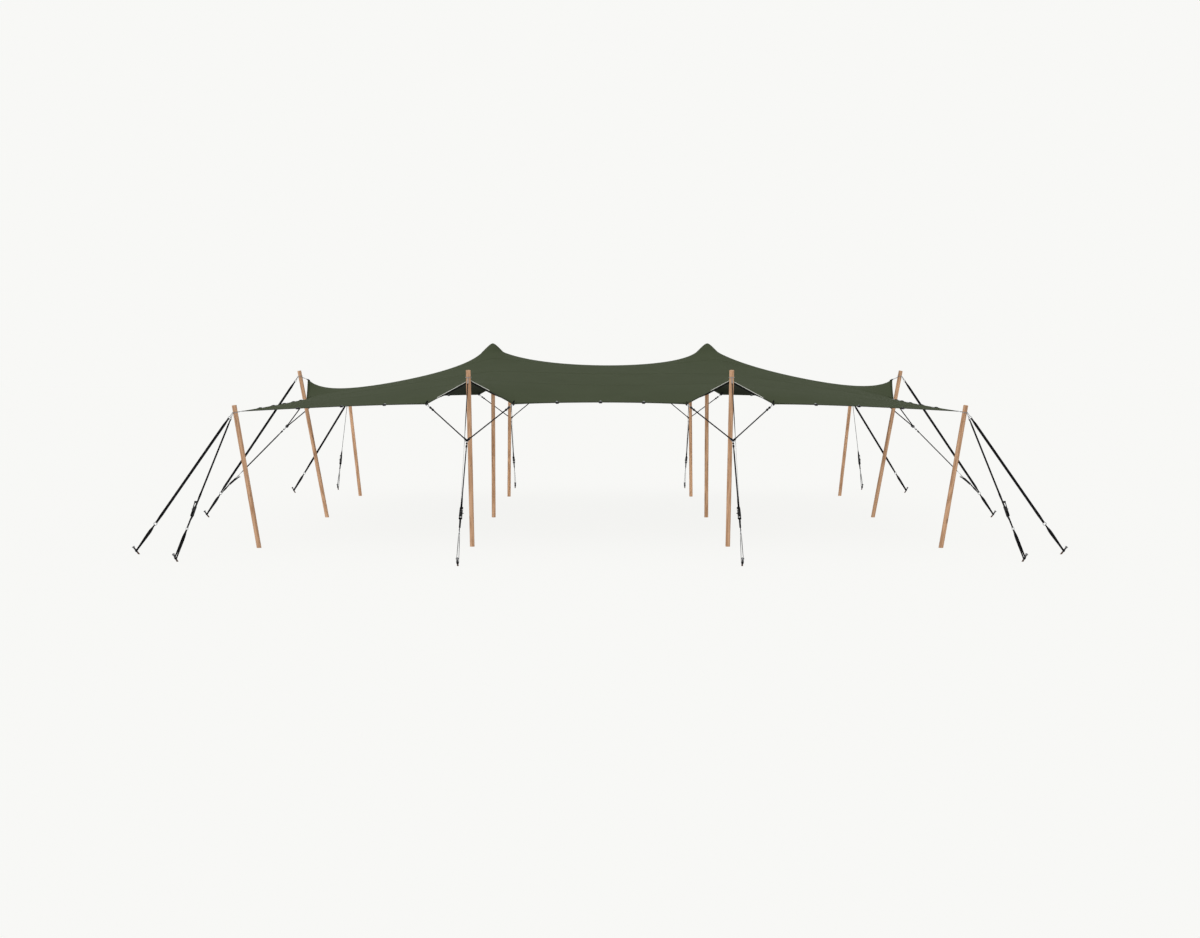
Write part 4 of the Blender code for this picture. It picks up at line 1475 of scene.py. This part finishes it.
def add_bridle(bm, stay):
    ring(bm, place_at(stay.join, stay.down, stay.spread), RING_R, RING_TUBE)
    for first in stay.leg_starts:
        add_leg(bm, stay, first)
    place = place_at(stay.join, stay.down, stay.bridle_lie)
    bar = place_at(stay.join, stay.down, stay.down.cross(stay.spread))
    add_oval(bm, bar @ Matrix.Translation((SWIVEL_LINK_AT, 0, 0)), *SWIVEL_LINK)
    turned(bm, place, SWIVEL, slot=DARK)
    turned(bm, place, SWIVEL_PIN, 12)
    add_block(bm, place, STRAP_END, DARK)


# %% All rigging of a stay
def add_rigging(bm, stay):
    add_head(bm, stay)
    if stay.holds:
        add_bridle(bm, stay)
    for anchor in stay.anchors:
        ring(bm, place_at(anchor["ring"], anchor["down"], anchor["wide"]), RING_R, RING_TUBE)


def dress_stays(kind, build, finishes):
    """One piece of a kind on every stay, over the stay's plain solid."""
    for stay in stays:
        bm = bmesh.new()
        build(bm, stay)
        piece(kind + stay.name, bm, finishes, stands_for=["stays_" + stay.name])


dress_stays("rigging_", add_rigging, [galvanised, coated, black_rope])

# %% [markdown]
# ## Webbing stays
# A strap is more than a flat bar. Its ends go round a ring and come back to be sewn down, it is
# wound on the drum of its ratchet, and it twists where the ring stands crosswise to it.
# Each end is written as a few stations: how far along the strap, and how far off its line. One
# function joins the stations of both ends and turns them into a swept ribbon. It also bunches
# the strap where it goes through a ring that is narrower than the webbing.

# %% Strap ends
SEWN = 0.110
SEWN_NEAR = 0.0385
SEWN_END = 0.140
SEWN_STEPS = 8
STRAP_STEP = 0.05
SQUEEZE_FLAT = 0.02
SQUEEZE_OVER = 0.15
WIND_STEPS = 16
WIND_OFF = ((0.03, 0.85), (0.08, 0.3), (0.12, 0.0))


def sewn_loop(radius, thick):
    """From the cut end, round a bar at x = 0, to where the strap lies single."""
    gap = 0.55 * thick
    turns = [math.radians(270 - 180 * k / SEWN_STEPS) for k in range(SEWN_STEPS + 1)]
    bend = [(radius * math.cos(a), radius * math.sin(a)) for a in turns]
    return [(SEWN, -gap), (SEWN_NEAR, -gap), *bend, (SEWN_NEAR, gap), (SEWN, gap), (SEWN_END, 0)]


def wound(inside, outside, turns):
    """From the middle of the drum, round and round, to where the strap leaves it."""
    count = round(turns * WIND_STEPS)
    coil = []
    for k in range(count + 1):
        angle = math.radians(90) + 2 * math.pi * turns * (1 - k / count)
        radius = inside + (outside - inside) * k / count
        coil.append((radius * math.cos(angle), radius * math.sin(angle)))
    return coil + [(x, outside * share) for x, share in WIND_OFF]


def squared(side, along):
    return (side - along * side.dot(along)).normalized()


def turn_about(axis, first, second):
    """The shorter turn about axis from the direction first to the line of second."""
    turn = math.atan2(first.cross(second).dot(axis), first.dot(second))
    return (turn + math.pi / 2) % math.pi - math.pi / 2


def eased_between(x, stops, values):
    """The value at x, with a smooth step from each stop to the next."""
    for a, b, low, high in zip(stops, stops[1:], values, values[1:]):
        if x < b:
            share = max((x - a) / (b - a), 0)
            return low + (high - low) * share * share * (3 - 2 * share)
    return values[-1]


# %% One strap
def add_strap(bm, start, end, lies, section, ends, squeeze):
    """A strap whose width lies along one direction at each of a few distances from its start.

    squeeze is the share of its width that the strap keeps where it is bunched in the rings.
    """
    run = end - start
    length, along = run.length, run.normalized()
    lies = [(x if x >= 0 else length + x, squared(side, along)) for x, side in lies]
    stops, angles = [x for x, _ in lies], [0.0]
    for (_, before), (_, after) in zip(lies, lies[1:]):
        angles.append(angles[-1] + turn_about(along, before, after))
    first, last = ends[0], [(length - x, h) for x, h in reversed(ends[1])]
    count = max(2, round((last[0][0] - first[-1][0]) / STRAP_STEP))
    middle = [(first[-1][0] + (last[0][0] - first[-1][0]) * k / count, 0) for k in range(1, count)]
    fan = min(SQUEEZE_OVER, length / 3)
    fanned = (SQUEEZE_FLAT, fan, length - fan, length - SQUEEZE_FLAT)
    points, across, widths = [], [], []
    for x, h in [*first, *middle, *last]:
        side = Matrix.Rotation(eased_between(x, stops, angles), 3, along) @ lies[0][1]
        points.append(start + along * x + along.cross(side) * h)
        across.append(side)
        widths.append(eased_between(x, fanned, (squeeze[0], 1.0, 1.0, squeeze[1])))
    sweep(bm, narrowed(run_of(points, across), widths), strap_outline(*section))


# %% [markdown]
# Each lowest ring is tied to its stake by a sling, which is a closed loop of wider webbing. It is
# bunched in the ring, turns on its way down and lies round the bar. A closed run of places, each
# with its own direction and width, gives all of that in one sweep.

# %% Slings round the stakes
STAKE_R = 0.014
SLING = (0.052, 0.0045)
SLING_TURN_STEPS = 12
SLING_BEND_STEPS = 8
SLING_LEG_STEPS = 12
SLING_WIDTHS = (0.55, 1.0, 0.34)
SLING_FAN = 0.25


def add_sling(bm, anchor):
    """A loop of webbing from the ring's lowest bar, where it is bunched, round the stake."""
    down, across, axis, wide = (anchor[key] for key in ("down", "across", "axis", "wide"))
    away = across.cross(axis).normalized()
    away = away if away.dot(down) > 0 else -away
    radius = STAKE_R + SLING[1]
    turns = [math.pi * (k / SLING_TURN_STEPS - 0.5) for k in range(SLING_TURN_STEPS + 1)]
    low = [anchor["hold"] + (away * math.cos(a) + across * math.sin(a)) * radius for a in turns]
    bend = RING_TUBE + SLING[1] / 2
    bar = anchor["ring"] + down * RING_R
    turns = [math.pi * k / SLING_BEND_STEPS for k in range(SLING_BEND_STEPS + 1)]
    near = [bar + (across * math.cos(a) - down * math.sin(a)) * bend for a in turns]
    shares = [k / SLING_LEG_STEPS for k in range(1, SLING_LEG_STEPS)]
    up = [low[-1].lerp(near[0], share) for share in shares]
    back = [near[-1].lerp(low[0], share) for share in shares]
    sides = [axis] * len(low) + [axis.lerp(wide, share) for share in shares]
    sides += [wide] * len(near) + [wide.lerp(axis, share) for share in shares]
    fan = [eased_between(share, (0, 1 - SLING_FAN, 1), SLING_WIDTHS) for share in shares]
    widths = [SLING_WIDTHS[0]] * len(low) + fan + [SLING_WIDTHS[2]] * len(near) + fan[::-1]
    places = narrowed(run_of(low + up + near + back, sides, loop=True), widths)
    sweep(bm, places, strap_outline(*SLING), loop=True)


# %% All straps of a stay
STAY_SECTION = (0.047, 0.003)
TIGHT_SECTION = (0.036, 0.003)
WEB_SECTION = (0.032, 0.0025)
BOLT_UP = 0.155
BOLT_R = 0.006
DRUM_INSIDE = 0.0095
DRUM_OUTSIDE = 0.0160
DRUM_TURNS = 2.5
TURN_FROM = -0.30
TURN_TO = -0.15
SETTLED = (0.5, 1.4)
LOW_TURN = (0.07, 0.11)
BAR_APART = 0.011
START_KEEPS = 0.6
SPINDLE_KEEPS = 0.9
RING_KEEPS = (0.8, 0.45)
LOW_RING_KEEPS = (0.85, 0.6)
SURPLUS_FROM = 0.034
SURPLUS_TO = 0.175
SURPLUS_WIDE = 0.0125
SURPLUS_HIGH = 0.0095
SURPLUS_TURNS = 7
SURPLUS_STEPS = 14 * SURPLUS_TURNS
SURPLUS = (0.026, 0.0025)
SURPLUS_SLANT = 0.08


def round_bar(bar, section):
    return sewn_loop(bar + section[1] * 0.6, section[1])


def add_surplus(bm, start, along, across):
    """The spare end of the strap, wound round the tight strap below the ratchet."""
    up = along.cross(across)
    points, sides = [], []
    for k in range(SURPLUS_STEPS + 1):
        share = k / SURPLUS_STEPS
        turn = 2 * math.pi * SURPLUS_TURNS * share
        out = across * math.cos(turn) * SURPLUS_WIDE + up * math.sin(turn) * SURPLUS_HIGH
        down = SURPLUS_FROM + (SURPLUS_TO - SURPLUS_FROM) * share
        points.append(start + along * down + out)
        sides.append(along + out.normalized() * SURPLUS_SLANT)
    sweep(bm, run_of(points, sides), strap_outline(*SURPLUS))


def add_stay_straps(bm, stay):
    """The plain strap, the strap above the ratchet and the one below it, and the slings."""
    plain, tight = stay.anchors[0], stay.anchors[-1]
    across = stay.ratchet.col[1].xyz
    shared = not stay.corner
    apart = BAR_APART * shared
    loops = (round_bar(START_RING_TUBE, STAY_SECTION), round_bar(RING_TUBE, STAY_SECTION))
    bar = plain["ring"] - plain["down"] * RING_R + plain["wide"] * apart
    lies = ((0, stay.lies[0]), (SETTLED[0], stay.lies[0]), (SETTLED[1], stay.settled))
    lies += ((TURN_FROM, stay.settled), (TURN_TO, plain["wide"]))
    add_strap(bm, stay.starts[0], bar, lies, STAY_SECTION, loops, (START_KEEPS, RING_KEEPS[shared]))
    bolt = stay.ratchet @ Vector((BOLT_UP, 0, 0))
    if stay.corner:
        upper, lie, section = stay.starts[1], stay.lies[1], TIGHT_SECTION
    else:
        upper, lie, section = stay.join + stay.down * STRAP_END[2][0], stay.bridle_lie, WEB_SECTION
    loops = (round_bar(START_RING_TUBE, section), round_bar(BOLT_R, section))
    lies = ((0, lie), (TURN_FROM, lie), (TURN_TO, across))
    add_strap(bm, upper, bolt, lies, section, loops, (START_KEEPS, WEB_SECTION[0] / section[0]))
    drum = stay.ratchet.translation
    bar = tight["ring"] - tight["down"] * RING_R - tight["wide"] * apart
    loops = (wound(DRUM_INSIDE, DRUM_OUTSIDE, DRUM_TURNS), round_bar(RING_TUBE, WEB_SECTION))
    lies = ((0, across), (LOW_TURN[0], across), (LOW_TURN[1], tight["wide"]))
    add_strap(bm, drum, bar, lies, WEB_SECTION, loops, (SPINDLE_KEEPS, LOW_RING_KEEPS[shared]))
    add_surplus(bm, drum, (bar - drum).normalized(), across)
    for anchor in stay.anchors:
        add_sling(bm, anchor)


dress_stays("webbing_", add_stay_straps, [webbing])

# %% [markdown]
# ## Ratchets
# A ratchet is two side plates that carry a spindle, with a toothed wheel outside each plate, a
# base plate between them and a bolt that holds the upper strap. The strap from the ground is
# wound on the spindle. The plates are outlines with rounded corners, given a thickness and
# broken edges.

# %% Ratchet frame
PLATE_THICK = 0.003
PLATE_Y = 0.0165
SPINDLE_HALF = 0.029
SPINDLE_R = 0.008
BOLT_SHANK_R = BOLT_R - 0.0008
WHEEL_Y = 0.0197
WHEEL_THICK = 0.0024
WHEEL_CHAMFER = 0.0004
SPINDLE_HEAD = 0.0105
BOLT_HEAD = 0.0095
HEAD_THICK = 0.004
ROD_SIDES = 18
BASE = ((0.026, -0.0125), (0.050, -0.0120), (0.120, -0.0105), (0.160, -0.0085))
BEND_STEP = 0.006
TEETH = 12
TOOTH = ((0.0, 0.0150), (0.12, 0.0190), (0.30, 0.01843))
SIDE_PLATE = [(-0.019, -0.018, 0.016), (0.040, -0.019, 0.010), (0.120, -0.013, 0.020)]
SIDE_PLATE += [(0.168, -0.013, 0.011), (0.168, 0.013, 0.011), (0.125, 0.009, 0.020)]
SIDE_PLATE += [(0.070, 0.009, 0.020), (0.040, 0.017, 0.010), (-0.019, 0.018, 0.016)]


def facing_side(place, y):
    """A place whose X runs across the ratchet and whose Y and Z are its length and height."""
    return place @ Matrix.Translation((0, y, 0)) @ QUARTER.inverted()


def wheel_outline():
    """A saw tooth each time round: a steep face and a sloping back."""
    outline = []
    for k in range(TEETH):
        for share, radius in TOOTH:
            turn = 2 * math.pi * (k + share) / TEETH
            outline.append((radius * math.cos(turn), radius * math.sin(turn)))
    return outline


def add_cross_rod(bm, place, x, z, reach, radius, head=0.0):
    """A rod across the ratchet, with a head on each end where one is asked for."""
    rod = facing_side(place, 0) @ Matrix.Translation((0, x, z))
    profile = [(-reach, radius), (reach, radius)]
    if head:
        outer = reach + HEAD_THICK
        profile = [(-outer, head * 0.8), (-reach, head), *profile, (reach, head), (outer, head * 0.8)]
    turned(bm, rod, profile, ROD_SIDES)


def add_bent_plate(bm, place, spots, wide, thick):
    """A plate as wide as given across the ratchet, bent through (length, height) spots."""
    points = eased([place @ Vector((x, 0, z)) for x, z in spots], BEND_STEP)
    sweep(bm, run_of(points, place.col[1].xyz), strap_outline(wide, thick))


def add_ratchet(bm, stay):
    place = stay.ratchet
    for side in (-1, 1):
        plate(bm, facing_side(place, side * PLATE_Y), softened(SIDE_PLATE), PLATE_THICK)
        plate(bm, facing_side(place, side * WHEEL_Y), wheel_outline(), WHEEL_THICK, WHEEL_CHAMFER)
    add_cross_rod(bm, place, 0, 0, SPINDLE_HALF - HEAD_THICK, SPINDLE_R, SPINDLE_HEAD)
    add_cross_rod(bm, place, BOLT_UP, 0, PLATE_Y + PLATE_THICK, BOLT_SHANK_R, BOLT_HEAD)
    add_bent_plate(bm, place, BASE, 2 * PLATE_Y, PLATE_THICK)


dress_stays("ratchet_", add_ratchet, [coated])

# %% [markdown]
# ## Handles
# The lever of the ratchet is two bent arms with eyes round the spindle, a sprung catch plate
# between them, an open rolled tube to grip and a small knob on one arm. It turns with its own
# body, so it is a piece of its own that rides there, and it stays clear of the plates at every
# angle.

# %% Handle
ARM_LONG = 0.240
ARM_RISE = 0.030
ARM_Y = 0.0231
ARM_THICK = 0.0035
ARM_TILT = math.atan2(ARM_RISE, ARM_LONG)
ARM = [(-0.0145, -0.0145, 0.0135), (0.030, -0.0140, 0.012), (0.075, -0.0095, 0.030)]
ARM += [(0.228, -0.0095, 0.006), (0.228, 0.0095, 0.006), (0.075, 0.0105, 0.030)]
ARM += [(0.030, 0.0145, 0.012), (-0.0145, 0.0145, 0.0135)]
FLANGE_Y = ARM_Y + 0.0025
FLANGE_LOW = -0.010
FLANGE_R = 0.0022
FLANGE_RUN = (0.035, 0.080, 0.140, 0.200, 0.222)
FLANGE_STEP = 0.01
EYE_Y = ARM_Y + 0.0008
EYE_RIM = (0.0115, 0.0022, 8, 28)
GRIP_R = 0.0165
GRIP_WALL = 0.003
GRIP_BACK = 0.002
GRIP_STEPS = 28
CATCH = ((0.078, 0.0095), (0.090, 0.0095), (0.120, 0.0085), (0.150, 0.0080))
CATCH_THICK = 0.003
CATCH_ROD = (0.102, 0.006)
CATCH_ROD_R = 0.004
CATCH_ROOM = 0.001
KNOB_AT = 0.115
KNOB = ((0.0, 0.005), (0.003, 0.0065), (0.007, 0.0080), (0.013, 0.0080), (0.016, 0.006))


def add_arm(bm, place, side):
    plate(bm, facing_side(place, side * ARM_Y), softened(ARM), ARM_THICK)
    flange = facing_side(place, side * FLANGE_Y)
    spine = [flange @ Vector((0, x, FLANGE_LOW)) for x in FLANGE_RUN]
    tube(bm, eased(spine, FLANGE_STEP), FLANGE_R, flange.col[0].xyz, CORD_SIDES)


def add_handle(bm, stay):
    place = stay.ratchet @ Matrix.Rotation(-ARM_TILT, 4, "Y")
    quarter = Matrix.Rotation(math.radians(90), 4, "Y")
    for side in (-1, 1):
        add_arm(bm, place, side)
        ring(bm, facing_side(place, side * EYE_Y) @ quarter, *EYE_RIM)
    across = place.col[1].xyz
    reach, inside = ARM_Y + ARM_THICK / 2, ARM_Y - ARM_THICK / 2
    end = Matrix.Translation((0, math.hypot(ARM_LONG, ARM_RISE) - GRIP_BACK, 0))
    grip = facing_side(place, 0) @ end @ quarter
    wall = run_of(whole_circle(grip, GRIP_R, GRIP_STEPS), across, loop=True)
    sweep(bm, wall, strap_outline(2 * reach, GRIP_WALL), loop=True)
    add_cross_rod(bm, place, *CATCH_ROD, inside, CATCH_ROD_R)
    add_bent_plate(bm, place, CATCH, 2 * (inside - CATCH_ROOM), CATCH_THICK)
    outward = Vector((math.copysign(1, stay.head.x) * (1 if stay.corner else -1), 0, 0))
    side = math.copysign(1, across.dot(outward))
    knob = place_at(place @ Vector((KNOB_AT, side * reach, 0)), across * side, place.col[0].xyz)
    turned(bm, knob, KNOB)


for stay in stays:
    bm = bmesh.new()
    add_handle(bm, stay)
    body = "handle_" + stay.name
    piece("lever_" + stay.name, bm, [coated], body, [body])

# %% [markdown]
# ## Stakes
# The stakes are steel bars driven in at a slant, with heads spread by the hammer. Each is a turned
# bar about its own axis, cut flush with the ground, whose finish is dark scale with rust near the
# ground and bare, dented metal on the head.

# %% Stake finish
SCALE_STEEL = (0.055, 0.056, 0.060)
RUST = (0.110, 0.050, 0.024)
BARE_STEEL = (0.30, 0.30, 0.31)
RUST_FADES = (0.03, 0.09)
BEATEN_FROM = (0.150, 0.158)
PIT_DEPTH = 0.0006


def stake_paint(g):
    p = in_object(g)
    up = part(p, 2)
    pits = noise(p, 160.0, 5.0, 0.7)
    low = 1 - step(up + noise(p, 30.0, 3.0) * 0.04, *RUST_FADES)
    rust = g.math("MAXIMUM", step(noise(p, 45.0, 5.0, 0.7), 0.58, 0.72), low * 0.8)
    beaten = step(up, *BEATEN_FROM) * step(noise(p, 90.0, 2.0), 0.35, 0.6)
    colour = mixed(rust, SCALE_STEEL, RUST)
    colour = mixed(beaten, colour, BARE_STEEL)
    return {
        "Base Color": colour,
        "Metallic": 0.85 - rust * 0.6,
        "Roughness": 0.5 + rust * 0.35 - beaten * 0.12,
        "Normal": relief(pits + beaten * 0.3, PIT_DEPTH, 0.7),
    }


stake_steel = finish("stake_steel", stake_paint)

# %% Stakes
STAKE_SIDES = 28
STAKE_BAR = (0.0, 0.03, 0.09)
STAKE_NECK = ((0.020, STAKE_R), (0.017, 0.017), (0.014, 0.0225), (0.011, 0.024))
STAKE_HEAD = ((0.005, 0.024), (0.002, 0.0215), (0.0005, 0.018), (0.0, 0.010))


def stake_profile(length):
    """The bar from the foot up, and the neck and head, which are given from the top down."""
    bar = [(up, STAKE_R) for up in STAKE_BAR]
    return bar + [(length - down, radius) for down, radius in STAKE_NECK + STAKE_HEAD]


for node, rod in stakes.items():
    standing("steel_", node, rod, stake_profile(rod[2]), STAKE_SIDES, stake_steel)
